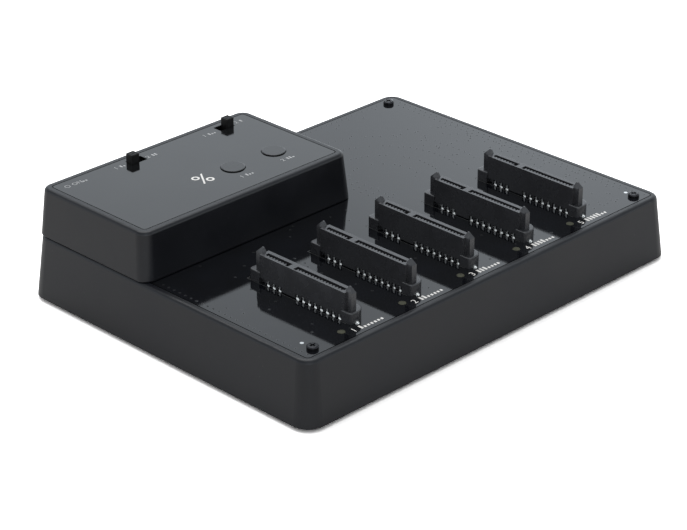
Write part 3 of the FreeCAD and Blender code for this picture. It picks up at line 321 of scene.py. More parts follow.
@dataclass(frozen=True)
class SolderMask(Finish):
    """Glossy lacquer over a board: glass weave under it, and clouds where copper is filled in."""

    weave_pitch: float = 0.5 * MM
    weave_depth: float = 0.0012 * MM
    pour_size: float = 9 * MM
    pour_amount: float = 0.8
    pour_roughness: Pair = (0.7, 1.3)
    dust_color: Color = (0.5, 0.52, 0.55)
    dust_amount: float = 0.05
    dust_size: float = 5 * MM
    ior: float = 1.5

    def build(self) -> bpy.types.Material:
        """Make the material."""
        material, sheet, place, shader = self.start()
        pour = self.clouds(sheet, place, self.pour_size, self.pour_amount)
        dust = sheet.effect(Effect.DUST, Vector=place, Size=self.dust_size, Amount=self.dust_amount)
        turn = math.pi / self.weave_pitch
        axes = sheet.add("ShaderNodeSeparateXYZ", {0: place})
        along = sheet.math("SINE", sheet.math("MULTIPLY", axes.outputs[0], turn))
        across = sheet.math("SINE", sheet.math("MULTIPLY", axes.outputs[1], turn))
        weave = sheet.math("MULTIPLY", along, across)
        bump = sheet.add("ShaderNodeBump", {"Height": weave, "Distance": self.weave_depth})
        sheet.feed(shader, {
            "Base Color": sheet.mix(dust.outputs["Mask"], pour.outputs["Color"], opaque(self.dust_color)),
            "Roughness": self.uneven(sheet, pour.outputs["Mask"], self.pour_roughness),
            "Normal": bump.outputs[0],
            "IOR": self.ior,
        })
        return material


@dataclass(frozen=True)
class Metal(Finish):
    """Plated or oxidised metal with fine lines and a slow tarnish."""

    stretch: tuple[float, float, float] = (9000.0, 9000.0, 900.0)
    line_depth: float = 0.004 * MM
    tarnish: float = 0.25
    tarnish_size: float = 3 * MM
    tarnish_roughness: Pair = (0.8, 1.25)

    def build(self) -> bpy.types.Material:
        """Make the material."""
        material, sheet, place, shader = self.start()
        cloud = self.clouds(sheet, place, self.tarnish_size, self.tarnish)
        lines = sheet.effect(Effect.BRUSHING, Vector=place, Stretch=self.stretch)
        bump = sheet.add("ShaderNodeBump", {"Height": lines.outputs["Height"], "Distance": self.line_depth})
        sheet.feed(shader, {
            "Base Color": cloud.outputs["Color"],
            "Roughness": self.uneven(sheet, cloud.outputs["Mask"], self.tarnish_roughness),
            "Normal": bump.outputs[0],
            "Metallic": 1.0,
        })
        return material


@dataclass(frozen=True)
class PlatedContact(Finish):
    """Contact strip: gold above a level, bright tin below it."""

    tin: Color = (0.8, 0.8, 0.8)
    level: float = 24.2 * MM
    blend: float = 0.3 * MM
    wear_size: float = 0.8 * MM
    wear_amount: float = 0.3
    wear_roughness: Pair = (1.0, 1.6)

    def build(self) -> bpy.types.Material:
        """Make the material."""
        material, sheet, place, shader = self.start()
        height = sheet.add("ShaderNodeSeparateXYZ", {0: place}).outputs[2]
        share = sheet.span(height, (self.level - self.blend, self.level + self.blend), FULL)
        color = sheet.mix(share, opaque(self.tin), opaque(self.color))
        worn = sheet.effect(
            Effect.MOTTLE, Vector=place, Size=self.wear_size, Color=color, Amount=self.wear_amount
        )
        sheet.feed(shader, {
            "Base Color": worn.outputs["Color"],
            "Roughness": self.uneven(sheet, worn.outputs["Mask"], self.wear_roughness),
            "Metallic": 1.0,
        })
        return material


def ink(name: str, color: Color) -> Plastic:
    """Return a marking ink of one colour."""
    return Plastic(name, color, 0.5, cloud_size=2 * MM, grain_size=0.1 * MM)


class Palette:
    """Every finish of the unit, each built once."""

    SHELL = Plastic("Satin shell plastic", (0.0044, 0.0050, 0.0074), 0.36, specular=0.41)
    PLATE = Plastic("Bottom plate plastic", (0.0115, 0.0115, 0.0125), 0.5, grain_size=0.4 * MM)
    RUBBER = Plastic("Foot rubber", (0.014, 0.014, 0.014), 0.8, grain_size=0.5 * MM, specular=0.3)
    BOARD = SolderMask("Black solder mask", (0.0035, 0.0038, 0.0050), 0.06, ior=1.6)
    VIA = SolderMask("Lacquered copper ring", (0.016, 0.017, 0.019), 0.10, ior=1.7)
    # Painted shade: the dark colour of the disc in each plated hole's middle, standing for the depth of a
    # hole the board does not have.
    HOLE = Plastic("Painted hole shade", (0.004, 0.004, 0.004), 0.7, specular=0.2)
    INK = ink("White marking ink", (0.80, 0.80, 0.78))
    FAINT_INK = ink("Faint marking ink", (0.055, 0.056, 0.056))
    GREY_INK = ink("Grey marking ink", (0.42, 0.43, 0.44))
    RESIN = Plastic(
        "Connector resin", (0.031, 0.032, 0.036), 0.27, cloud_size=5 * MM, grain_size=0.12 * MM, ior=1.6
    )
    PANEL = Plastic(
        "Gloss panel", (0.0045, 0.0048, 0.0052), 0.10, grain_size=1.5 * MM, grain_depth=0.0006 * MM, ior=1.69
    )
    BUTTON = Plastic("Button plastic", (0.0040, 0.0043, 0.0048), 0.17, grain_size=0.8 * MM, ior=1.62)
    LEVER = Plastic("Lever plastic", (0.0045, 0.0045, 0.0045), 0.45, cloud_size=2 * MM, specular=0.3)
    NYLON = Plastic("Black nylon", (0.014, 0.014, 0.014), 0.45, cloud_size=3 * MM)
    LENS = Plastic("Lamp lens", (0.066, 0.068, 0.050), 0.3, cloud_size=1.2 * MM, grain_size=0.2 * MM)
    SOLDER = Metal("Reflowed solder", (0.80, 0.80, 0.77), 0.2, tarnish=0.1)
    MILK = Plastic("Milky lamp", (0.75, 0.74, 0.68), 0.35, cloud_size=1 * MM)
    CLEAR = Plastic("Clear light pipe", (0.8, 0.83, 0.84), 0.08, cloud_size=1 * MM)
    SMOKED = Plastic("Smoked display", (0.012, 0.010, 0.010), 0.15)
    CHIP = Plastic("Chip resin", (0.018, 0.018, 0.018), 0.5, grain_size=0.15 * MM, cloud_size=2 * MM)
    FERRITE = Plastic("Ferrite", (0.06, 0.06, 0.062), 0.55, grain_size=0.3 * MM, cloud_size=2 * MM)
    ZINC = Metal("Zinc plated steel", (0.55, 0.55, 0.56), 0.3)
    BLACK_STEEL = Metal("Black oxide steel", (0.035, 0.035, 0.038), 0.25)
    NICKEL = Metal("Nickel plate", (0.62, 0.61, 0.58), 0.22, stretch=(900.0, 9000.0, 9000.0))
    TIN = Metal("Bright tin", (0.80, 0.80, 0.79), 0.18, tarnish=0.1)
    SLEEVE = Metal("Capacitor can", (0.66, 0.66, 0.68), 0.3)
    CONTACT = PlatedContact("Plated contact", (0.83, 0.62, 0.30), 0.2)

    def __init__(self) -> None:
        """Start with no finish built."""
        self.built: dict[str, bpy.types.Material] = {}

    def add(self, piece: Piece, finish: Finish) -> None:
        """Give a piece one more finish, for the faces that are set to it."""
        if finish.name not in self.built:
            self.built[finish.name] = finish.build()
        piece.data.materials.append(self.built[finish.name])

    def dress(self, piece: Piece, finish: Finish) -> None:
        """Give a piece one finish all over."""
        piece.data.materials.clear()
        self.add(piece, finish)


def add_object(name: str, operator: Callable[..., object], **settings: object) -> Piece:
    """Add an object with one of Blender's operators.

    Args:
        name: The object's name.
        operator: The operator that adds it.
        settings: What the operator is given.

    Returns:
        The object, selected alone.
    """
    bpy.ops.object.select_all(action="DESELECT")
    operator(**settings)
    piece = bpy.context.object
    piece.name = name
    return piece


@dataclass
class Studio:
    """Pale floor, plain soft light and the camera at the photograph's angle.

    The sky's changes are for mirror rays only. Each goes over a span: of how high the ray points for the
    first two, and of how far it points to the right and the front for the rest.
    """

    floor_half: float = 4.0
    floor_color: Color = (0.86, 0.86, 0.86)
    floor_seen: Color = (2.1, 2.1, 2.1)
    sky_strength: float = 0.62
    sky_plain: Color = (1.0, 1.0, 1.0)
    sky_tint: Color = (0.87, 0.935, 1.0)
    sky_low: float = 1.12
    sky_high: float = 0.86
    sky_span: Pair = (0.41, 0.48)
    sky_edge: float = 1.6
    edge_span: Pair = (0.12, 0.36)
    sky_side: float = 1.22
    side_span: Pair = (0.0, 0.09)
    left_dim: float = 0.7
    left_span: Pair = (-0.5, -0.1)
    right_dim: float = 0.6
    right_span: Pair = (0.3, 0.9)
    lamp_energy: float = 9.0
    lamp_size: float = 1.3
    lamp_place: tuple[float, float, float] = (0.2, 0.45, 1.3)
    camera_place: tuple[float, float, float] = (-0.50625, -0.50198, 0.3591)
    camera_aim: tuple[float, float, float] = (-0.00898, -0.00394, 0.00834)
    camera_roll: float = -0.17
    lens: float = 129.0
    sensor: float = 36.0

    def build(self) -> None:
        """Make the floor, the light and the camera."""
        self.build_floor()
        self.build_sky()
        self.build_lamp()
        self.build_camera()

    def build_floor(self) -> None:
        """Make the floor: to the camera white paper with only the shadow on it, to the light plain paper."""
        floor = add_object("studio_floor", bpy.ops.mesh.primitive_plane_add, size=2 * self.floor_half)
        material = bpy.data.materials.new("Studio floor")
        sheet = blank_sheet(material)
        eye = sheet.add("ShaderNodeLightPath").outputs["Is Camera Ray"]
        color = sheet.mix(eye, opaque(self.floor_color), opaque(self.floor_seen))
        paper = sheet.add("ShaderNodeBsdfDiffuse", {"Color": color})
        sheet.add("ShaderNodeOutputMaterial", {0: paper.outputs[0]})
        floor.data.materials.append(material)

    def build_sky(self) -> None:
        """Make the white surroundings: in a mirror a little cool, brightest low down, dimmer far aside."""
        world = bpy.data.worlds.new("Studio surroundings")
        bpy.context.scene.world = world
        sheet = blank_sheet(world)
        path = sheet.add("ShaderNodeLightPath")
        mirror = sheet.math("MAXIMUM", path.outputs["Is Glossy Ray"], path.outputs["Is Transmission Ray"])
        ray = sheet.add("ShaderNodeTexCoord").outputs["Generated"]
        right, back, height = sheet.add("ShaderNodeSeparateXYZ", {0: ray}).outputs
        aside = sheet.math("SUBTRACT", right, back)
        mirrored = sheet.span(height, self.sky_span, (self.sky_low, self.sky_high))
        for measure, source, target in (
            (height, self.edge_span, (self.sky_edge, 1.0)),
            (aside, self.side_span, (1.0, self.sky_side)),
            (aside, self.left_span, (self.left_dim, 1.0)),
            (aside, self.right_span, (1.0, self.right_dim)),
        ):
            mirrored = sheet.math("MULTIPLY", mirrored, sheet.span(measure, source, target))
        color = sheet.mix(mirror, opaque(self.sky_plain), opaque(self.sky_tint))
        rest = 1.0 - self.sky_strength
        around = sheet.math("MULTIPLY_ADD", path.outputs["Is Camera Ray"], rest, self.sky_strength)
        strength = sheet.add("ShaderNodeMix", {0: mirror, 2: around, 3: mirrored})
        sky = sheet.add("ShaderNodeBackground", {"Color": color, "Strength": strength.outputs[0]})
        sheet.add("ShaderNodeOutputWorld", {0: sky.outputs[0]})

    def build_lamp(self) -> None:
        """Make the large soft lamp overhead."""
        data = bpy.data.lights.new("Studio lamp", "AREA")
        data.shape = "DISK"
        data.size = self.lamp_size
        data.energy = self.lamp_energy
        lamp = bpy.data.objects.new("Studio lamp", data)
        lamp.location = self.lamp_place
        lamp.rotation_euler = (-Vector(self.lamp_place)).to_track_quat("-Z", "Y").to_euler()
        bpy.context.scene.collection.objects.link(lamp)

    def build_camera(self) -> None:
        """Make the camera, level apart from the photograph's slight roll."""
        data = bpy.data.cameras.new("Studio camera")
        data.lens = self.lens
        data.sensor_width = self.sensor
        camera = bpy.data.objects.new("Studio camera", data)
        place = Vector(self.camera_place)
        look = (Vector(self.camera_aim) - place).to_track_quat("-Z", "Y").to_matrix().to_4x4()
        roll = Matrix.Rotation(math.radians(self.camera_roll), 4, "Z")
        camera.matrix_world = Matrix.Translation(place) @ look @ roll
        bpy.context.scene.collection.objects.link(camera)
        bpy.context.scene.camera = camera
        bpy.context.scene.view_settings.view_transform = "Standard"


@dataclass
class Bench:
    """Ways to model a mesh with the editing tools, one piece at a time, as by hand.

    The label's values are shares of the height of its type, apart from the bars' thickness.
    """

    palette: Palette
    bevel_segments: int = 2
    bevel_angle: float = math.radians(35)
    smooth_angle: float = math.radians(50)
    flat_angle: float = math.radians(1)
    weld: float = 0.001 * MM
    letter_detail: int = 3
    letter_width: float = 0.62
    label_gap: float = 0.35
    bar_width: float = 0.24
    bar_step: float = 0.42
    bar_tall: float = 0.62
    bar_short: float = 0.3
    bar_thickness: float = 0.01 * MM

    def alone(self, piece: Piece) -> None:
        """Select one piece and nothing else, and make it the active one."""
        bpy.ops.object.select_all(action="DESELECT")
        piece.select_set(True)
        bpy.context.view_layer.objects.active = piece

    def block(self, name: str, low: Sequence[float], high: Sequence[float], edge: float = 0.0) -> Piece:
        """Make a block between two corners.

        Args:
            name: The piece's name.
            low: The lowest corner.
            high: The highest corner.
            edge: Width of the bevel on its edges, or nothing for sharp edges.

        Returns:
            The block, with its place in its mesh.
        """
        middle = [(a + b) / 2 for a, b in zip(low, high)]
        piece = add_object(name, bpy.ops.mesh.primitive_cube_add, size=1.0, location=middle)
        piece.scale = [b - a for a, b in zip(low, high)]
        self.alone(piece)
        bpy.ops.object.transform_apply(location=True, rotation=True, scale=True)
        if edge:
            self.bevel(piece, edge)
        return piece

    def bevel(self, piece: Piece, width: float) -> None:
        """Round a piece's sharp edges, and keep its flat faces flat in the light."""
        self.alone(piece)
        bpy.ops.object.shade_smooth()
        rounding = piece.modifiers.new("Soft edges", "BEVEL")
        rounding.width = width
        rounding.segments = self.bevel_segments
        rounding.limit_method = "ANGLE"
        rounding.angle_limit = self.bevel_angle
        rounding.harden_normals = True
        bpy.ops.object.modifier_apply(modifier=rounding.name)

    def disc(self, name: str, radius: float, sides: int) -> Piece:
        """Make a filled disc about the origin."""
        circle = bpy.ops.mesh.primitive_circle_add
        return add_object(name, circle, vertices=sides, radius=radius, fill_type="NGON")

    def stack(self, name: str, radius: float, steps: Steps, sides: int) -> Piece:
        """Draw a round form up from a disc about the origin.

        Args:
            name: The piece's name.
            radius: The disc's radius.
            steps: The rise of each step, and the share that its outline shrinks to.
            sides: How many sides the outline has.

        Returns:
            The form, standing on the disc.
        """
        piece = self.disc(name, radius, sides)
        bpy.ops.object.mode_set(mode="EDIT")
        bpy.ops.mesh.select_all(action="SELECT")
        top = 0.0
        for rise, share in steps:
            bpy.ops.mesh.extrude_region_move(TRANSFORM_OT_translate={"value": (0.0, 0.0, rise)})
            top += rise
            bpy.ops.transform.resize(value=(share, share, 1.0), center_override=(0.0, 0.0, top))
        bpy.ops.mesh.select_all(action="SELECT")
        bpy.ops.mesh.normals_make_consistent(inside=False)
        bpy.ops.object.mode_set(mode="OBJECT")
        self.alone(piece)
        bpy.ops.object.shade_smooth_by_angle(angle=self.smooth_angle)
        return piece

    def copies(self, model: Piece, places: Sequence[Matrix], name: str) -> Piece:
        """Copy a model to several places and join the copies.

        Args:
            model: The piece to copy. It is removed at the end.
            places: The move of each copy.
            name: The name of the joined piece.

        Returns:
            The joined piece.
        """
        made = []
        for place in places:
            piece = bpy.data.objects.new(name, model.data.copy())
            piece.data.transform(place)
            bpy.context.scene.collection.objects.link(piece)
            made.append(piece)
        bpy.data.objects.remove(model)
        return self.join(made, name)

    def join(self, pieces: Sequence[Piece], name: str) -> Piece:
        """Join pieces into one."""
        bpy.ops.object.select_all(action="DESELECT")
        for piece in pieces:
            piece.select_set(True)
        bpy.context.view_layer.objects.active = pieces[0]
        if len(pieces) > 1:
            bpy.ops.object.join()
        pieces[0].name = name
        return pieces[0]

    def softened(self, node: str, width: float) -> Piece:
        """Copy a solid of the frame and give its sharp edges the small round of a moulding."""
        piece = bpy.data.objects.new(f"{node}_moulded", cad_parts[node].data.copy())
        bpy.context.scene.collection.objects.link(piece)
        self.alone(piece)
        bpy.ops.object.mode_set(mode="EDIT")
        bpy.ops.mesh.select_all(action="SELECT")
        bpy.ops.mesh.remove_doubles(threshold=self.weld)
        bpy.ops.mesh.dissolve_limited(angle_limit=self.flat_angle)
        bpy.ops.object.mode_set(mode="OBJECT")
        if piece.data.has_custom_normals:
            bpy.ops.mesh.customdata_custom_splitnormals_clear()
        self.bevel(piece, width)
        return piece

    def lettering(self, name: str, words: str, size: float, start: Vector) -> Piece:
        """Set plain numbers or signs as a flat mesh.

        Args:
            name: The piece's name.
            words: The numbers or signs.
            size: The height of the type.
            start: Where the type begins, on its base line.

        Returns:
            The flat mesh.
        """
        piece = add_object(name, bpy.ops.object.text_add, location=(0.0, 0.0, 0.0))
        piece.data.body = words
        piece.data.size = size
        piece.data.resolution_u = self.letter_detail
        bpy.ops.object.convert(target="MESH")
        piece = bpy.context.object
        piece.data.transform(Matrix.Translation(start))
        return piece

    def label(self, words: str, size: float, start: Vector, length: float, tall: int) -> list[Piece]:
        """Print a plain number or word with a row of bars after it.

        Args:
            words: The number or word.
            size: The height of the type.
            start: The label's lower left corner.
            length: How far the bars reach.
            tall: How many bars are tall. The rest are short.

        Returns:
            The flat pieces.
        """
        pieces = [self.lettering("label", words, size, start)]
        x = start.x + size * (self.label_gap + self.letter_width * len(words))
        width = size * self.bar_width
        while x + width < start.x + length:
            rise = size * (self.bar_tall if len(pieces) <= tall else self.bar_short)
            low = (x, start.y, start.z - self.bar_thickness)
            pieces.append(self.block("bar", low, (x + width, start.y + rise, start.z)))
            x += size * self.bar_step
        return pieces

    def hand_over(self, piece: Piece, finish: Finish, slot: str, body: str, *nodes: str) -> None:
        """Dress a finished piece and give it to its body.

        Args:
            piece: The piece.
            finish: Its finish all over.
            slot: Not used.
            body: The body that it rides on.
            nodes: The solids that it stands for, if any.
        """
        self.palette.dress(piece, finish)
        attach(piece, body)
        if nodes:
            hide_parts(*nodes)
        LOG.info("%s: %d faces", piece.name, len(piece.data.polygons))


def top_of(node: str) -> float:
    """Return the height of a solid's highest point."""
    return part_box(node)[1][2]


def middle_of(low: Sequence[float], high: Sequence[float]) -> Pair:
    """Return the middle between two corners, seen from above."""
    return (low[0] + high[0]) / 2, (low[1] + high[1]) / 2


@dataclass
class DrivePorts:
    """The five drive connectors: moulded housings, soldered feet and the printed marks round them."""

    bench: Bench
    contact_pitch: float = 1.27 * MM
    power_contacts: int = 15
    signal_contacts: int = 7
    segment_step: float = 6.35 * MM
    edge: float = 0.12 * MM
    joint_reach: float = 1.5 * MM
    joint_radius: float = 0.48 * MM
    joint_steps: Steps = (
        (0.24 * MM, 0.95), (0.26 * MM, 0.72), (0.22 * MM, 0.9),
        (0.28 * MM, 1.3), (0.26 * MM, 1.15), (0.14 * MM, 0.7),
    )
    joint_sides: int = 10
    joint_lean: float = 0.12
    joint_drift: float = 0.3
    joint_widths: Pair = (1.3, 1.75)
    joint_heights: Pair = (0.9, 1.1)
    joint_seed: int = 11
    mound_aside: float = -0.9 * MM
    mound_reach: float = 0.25 * MM
    mound_radius: float = 0.72 * MM
    mound_steps: Steps = ((0.2 * MM, 0.92), (0.16 * MM, 0.76), (0.08 * MM, 0.55))
    line: float = 0.14 * MM
    line_gap: float = 0.35 * MM
    line_front: float = 2 * MM
    line_hook: float = 1.2 * MM
    ink: float = 0.02 * MM
    number_size: float = 3.3 * MM
    number_left: float = -4.5 * MM
    number_front: float = -24.75 * MM
    number_length: float = 12.5 * MM

    def build(self) -> None:
        """Make every port."""
        self.deck = top_of("main_board")
        for number in PORTS:
            low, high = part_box(f"drive_contacts_{number}")
            x, y = middle_of(low, high)
            self.build_housing(number)
            self.build_joints(number, x, y)
            self.build_outline(number)
            self.build_number(number, x, y)
        self.build_lock_joints()

    def build_housing(self, number: int) -> None:
        """Make one housing, with the small rounds of its mould."""
        node = f"drive_connector_{number}"
        piece = self.bench.softened(node, self.edge)
        self.bench.hand_over(piece, Palette.RESIN, "connector_plastic", CHASSIS, node)

    def row(self) -> list[tuple[float, int]]:
        """Return each contact's place along the row, and the side that its tail shows on."""
        first_signal = (self.power_contacts - 1) * self.contact_pitch + self.segment_step
        places = []
        for start, count, left in ((0.0, self.power_contacts, 0), (first_signal, self.signal_contacts, 1)):
            for index in range(count):
                places.append((start + index * self.contact_pitch, -1 if index % 2 == left else 1))
        half = places[-1][0] / 2
        return [(place - half, side) for place, side in places]

    def joint(self) -> Piece:
        """Make one soldered tail: a foot of solder, a narrow neck and the tinned elbow that leans inwards."""
        piece = self.bench.stack("solder_joint", self.joint_radius, self.joint_steps, self.joint_sides)
        slant = Matrix.Identity(4)
        slant[0][2] = self.joint_lean
        slant[1][2] = self.joint_drift
        piece.data.transform(slant)
        return piece

    def build_joints(self, number: int, x: float, y: float) -> None:
        """Make the solder at the tails of one port, no two joints quite alike."""
        random.seed(self.joint_seed + number)
        places = []
        for along, side in self.row():
            move = Matrix.Translation((x + side * self.joint_reach, y + along, self.deck))
            turn = Matrix.Rotation(0.0 if side < 0 else math.pi, 4, "Z")
            width = random.uniform(*self.joint_widths)
            height = random.uniform(*self.joint_heights)
            places.append(move @ turn @ Matrix.Diagonal((1.0, width, height, 1.0)))
        piece = self.bench.copies(self.joint(), places, f"solder_joints_{number}")
        self.bench.hand_over(piece, Palette.SOLDER, "tin", CHASSIS)

    def build_lock_joints(self) -> None:
        """Make the low mounds of solder over the soles of the board locks."""
        places = []
        for number in PORTS:
            low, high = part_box(f"drive_connector_{number}")
            x = middle_of(low, high)[0] + self.mound_aside
            for y in (low[1] - self.mound_reach, high[1] + self.mound_reach):
                places.append(Matrix.Translation((x, y, self.deck)))
        mound = self.bench.stack("lock_mound", self.mound_radius, self.mound_steps, self.joint_sides)
        piece = self.bench.copies(mound, places, "solder_board_locks")
        self.bench.hand_over(piece, Palette.SOLDER, "tin", CHASSIS)

    def build_outline(self, number: int) -> None:
        """Print the thin outline round one port, open at the front and hooked at the back."""
        low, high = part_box(f"drive_connector_{number}")
        left = low[0] - self.line_gap
        right = high[0] + self.line_gap
        front = low[1] - self.line_gap + self.line_front
        back = high[1] + self.line_gap
        top = self.deck + self.ink
        pieces = []
        for x_low, x_high, y_low, y_high in (
            (left, left + self.line, front, back),
            (right - self.line, right, front, back),
            (left, left + self.line_hook, back, back + self.line),
            (right - self.line_hook, right, back, back + self.line),
        ):
            pieces.append(self.bench.block("outline", (x_low, y_low, self.deck), (x_high, y_high, top)))
        piece = self.bench.join(pieces, f"port_outline_{number}")
        self.bench.hand_over(piece, Palette.FAINT_INK, "board_mask", CHASSIS)

    def build_number(self, number: int, x: float, y: float) -> None:
        """Print one port's number, and as many tall bars as its number."""
        start = Vector((x + self.number_left, y + self.number_front, self.deck + self.ink))
        pieces = self.bench.label(str(number), self.number_size, start, self.number_length, number)
        piece = self.bench.join(pieces, f"port_number_{number}")
        self.bench.hand_over(piece, Palette.INK, "board_mask", CHASSIS)


@dataclass
class BoardDetails:
    """What the board carries by itself: plated holes under lacquer, and sighting dots."""

    bench: Bench
    ring: float = 0.55 * MM
    steps: Steps = ((0.012 * MM, 0.8), (0.004 * MM, 0.66), (-0.008 * MM, 0.86))
    sides: int = 8
    sink: float = 0.005 * MM
    face_up: float = 0.9
    apart: float = 0.95 * MM
    part_clear: float = 1 * MM
    screw_radius: float = 1.85 * MM
    screw_clear: float = 3.6 * MM
    edge_inset: float = 1.7 * MM
    edge_pitch: float = 2.5 * MM
    row_gap: float = 2.1 * MM
    arc_centre: Pair = (26 * MM, 12 * MM)
    arcs: tuple[tuple[float, int], ...] = ((12 * MM, 16), (19 * MM, 24), (27 * MM, 30), (35 * MM, 34))
    arc_start: float = -20
    arc_sweep: float = 150
    arc_gaps: float = 0.2
    loose_holes: int = 120
    loose_reach: Pair = (76 * MM, 56 * MM)
    loose_pitch: float = 1.2 * MM
    column_count: int = 3
    column_holes: int = 14
    column_left: float = 13 * MM
    column_gap: float = 2.4 * MM
    column_pitch: float = 3.3 * MM
    side_holes: int = 110
    side_across: Pair = (56 * MM, 76 * MM)
    side_along: Pair = (-54 * MM, 30 * MM)
    dot_radius: float = 0.62 * MM
    dot_steps: Steps = ((0.03 * MM, 0.96),)
    dot_sides: int = 20
    dots: tuple[Pair, ...] = (
        (-72.75 * MM, -50.7 * MM), (73.45 * MM, -51.6 * MM), (75.95 * MM, 57.1 * MM),
    )
    seed: int = 7

    def build(self) -> None:
        """Make the holes and the dots."""
        self.deck = top_of("main_board")
        self.low, self.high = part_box("main_board")
        standing = ["control_box_housing"] + [f"drive_connector_{number}" for number in PORTS]
        self.taken = [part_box(node) for node in standing]
        low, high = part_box("board_screws")
        across, along = [(low[axis] + self.screw_radius, high[axis] - self.screw_radius) for axis in (0, 1)]
        self.screws = [(x, y) for x in across for y in along]
        self.build_vias()
        self.build_dots()

    def free(self, x: float, y: float) -> bool:
        """Tell whether a place on the board is clear of the parts that stand on it."""
        gap = self.part_clear
        for low, high in self.taken:
            if low[0] - gap < x < high[0] + gap and low[1] - gap < y < high[1] + gap:
                return False
        return all(math.hypot(x - a, y - b) > self.screw_clear for a, b in self.screws)

    def edge_rows(self) -> list[Pair]:
        """Return the places of the stitching holes along the board's edges."""
        places = []
        inset = self.edge_inset
        along_x = int((self.high[0] - self.low[0] - 2 * inset) / self.edge_pitch)
        along_y = int((self.high[1] - self.low[1] - 2 * inset) / self.edge_pitch)
        for index in range(along_y + 1):
            y = self.low[1] + inset + index * self.edge_pitch
            places.append((self.low[0] + inset, y))
            places.append((self.high[0] - inset, y))
            places.append((self.high[0] - inset - self.row_gap, y + self.edge_pitch / 2))
        for index in range(along_x + 1):
            places.append((self.low[0] + inset + index * self.edge_pitch, self.high[1] - inset))
        return places

    def field(self) -> list[Pair]:
        """Return the places of the other holes: broken arcs, a loose grid, columns and a side field."""
        random.seed(self.seed)
        places = []
        for radius, count in self.arcs:
            for index in range(count):
                if random.random() < self.arc_gaps:
                    continue
                turn = math.radians(self.arc_start + self.arc_sweep * index / count)
                x = self.arc_centre[0] + radius * math.cos(turn)
                places.append((x, self.arc_centre[1] + radius * math.sin(turn)))
        for _ in range(self.loose_holes):
            place = [random.uniform(-reach, reach) for reach in self.loose_reach]
            x, y = [round(value / self.loose_pitch) * self.loose_pitch for value in place]
            places.append((x, y))
        for column in range(self.column_count):
            for index in range(self.column_holes):
                places.append((self.column_left + column * self.column_gap, index * self.column_pitch))
        for _ in range(self.side_holes):
            places.append((random.uniform(*self.side_across), random.uniform(*self.side_along)))
        return places

    def build_vias(self) -> None:
        """Make the plated holes: a lacquered ring whose dark middle is painted shade standing for the depth
        of the hole.
        """
        model = self.bench.stack("plated_hole", self.ring, self.steps, self.sides)
        kept: list[Pair] = []
        for x, y in self.edge_rows() + self.field():
            if self.free(x, y) and all(math.hypot(x - a, y - b) > self.apart for a, b in kept):
                kept.append((x, y))
        places = [Matrix.Translation((x, y, self.deck - self.sink)) for x, y in kept]
        piece = self.bench.copies(model, places, "plated_holes")
        self.bench.hand_over(piece, Palette.VIA, "board_mask", CHASSIS)
        # The middle disc of each hole takes the dark colour, as painted shade of the hole.
        self.bench.palette.add(piece, Palette.HOLE)
        for face in piece.data.polygons:
            if face.normal.z > self.face_up and len(face.vertices) == self.sides:
                face.material_index = 1

    def build_dots(self) -> None:
        """Make the bare tin dots that a placing machine sights."""
        dot = self.bench.stack("sighting_dot", self.dot_radius, self.dot_steps, self.dot_sides)
        places = [Matrix.Translation((x, y, self.deck)) for x, y in self.dots]
        piece = self.bench.copies(dot, places, "sighting_dots")
        self.bench.hand_over(piece, Palette.TIN, "tin", CHASSIS)


class Switch(Enum):
    """The two slide switches, by their place on the panel."""

    LEFT = "left"
    RIGHT = "right"


@dataclass
class SwitchLevers:
    """The levers of the slide switches, with a soft edge and three ribs for the finger."""

    bench: Bench
    edge: float = 0.22 * MM
    top_depth: float = 0.1 * MM
    rib_count: int = 3
    rib_width: float = 0.36 * MM
    rib_height: float = 0.12 * MM
    rib_sink: float = 0.05 * MM
    rib_edge: float = 0.1 * MM
    rib_margin: float = 0.35 * MM
    rib_spread: float = 0.85

    def build(self) -> None:
        """Make both levers."""
        for switch in Switch:
            node = f"{switch.value}_switch_lever"
            lever = self.bench.softened(node, self.edge)
            piece = self.bench.join([lever] + self.ribs(node), f"{node}_grip")
            self.bench.hand_over(piece, Palette.LEVER, "lever_plastic", f"{switch.value}_lever", node)

    def ribs(self, node: str) -> list[Piece]:
        """Make the ribs on one lever's top."""
        low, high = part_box(node)
        top = high[2]
        middle = middle_of(low, high)[0]
        upper = [v.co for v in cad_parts[node].data.vertices if v.co.z > top - self.top_depth]
        x_low = min(v.x for v in upper)
        x_high = max(v.x for v in upper)
        y_low = min(v.y for v in upper) + self.rib_margin
        y_high = max(v.y for v in upper) - self.rib_margin
        step = (x_high - x_low) / self.rib_count * self.rib_spread
        half = self.rib_width / 2
        made = []
        for index in range(self.rib_count):
            x = middle + (index - (self.rib_count - 1) / 2) * step
            start = (x - half, y_low, top - self.rib_sink)
            end = (x + half, y_high, top + self.rib_height)
            made.append(self.bench.block("rib", start, end, self.rib_edge))
        return made


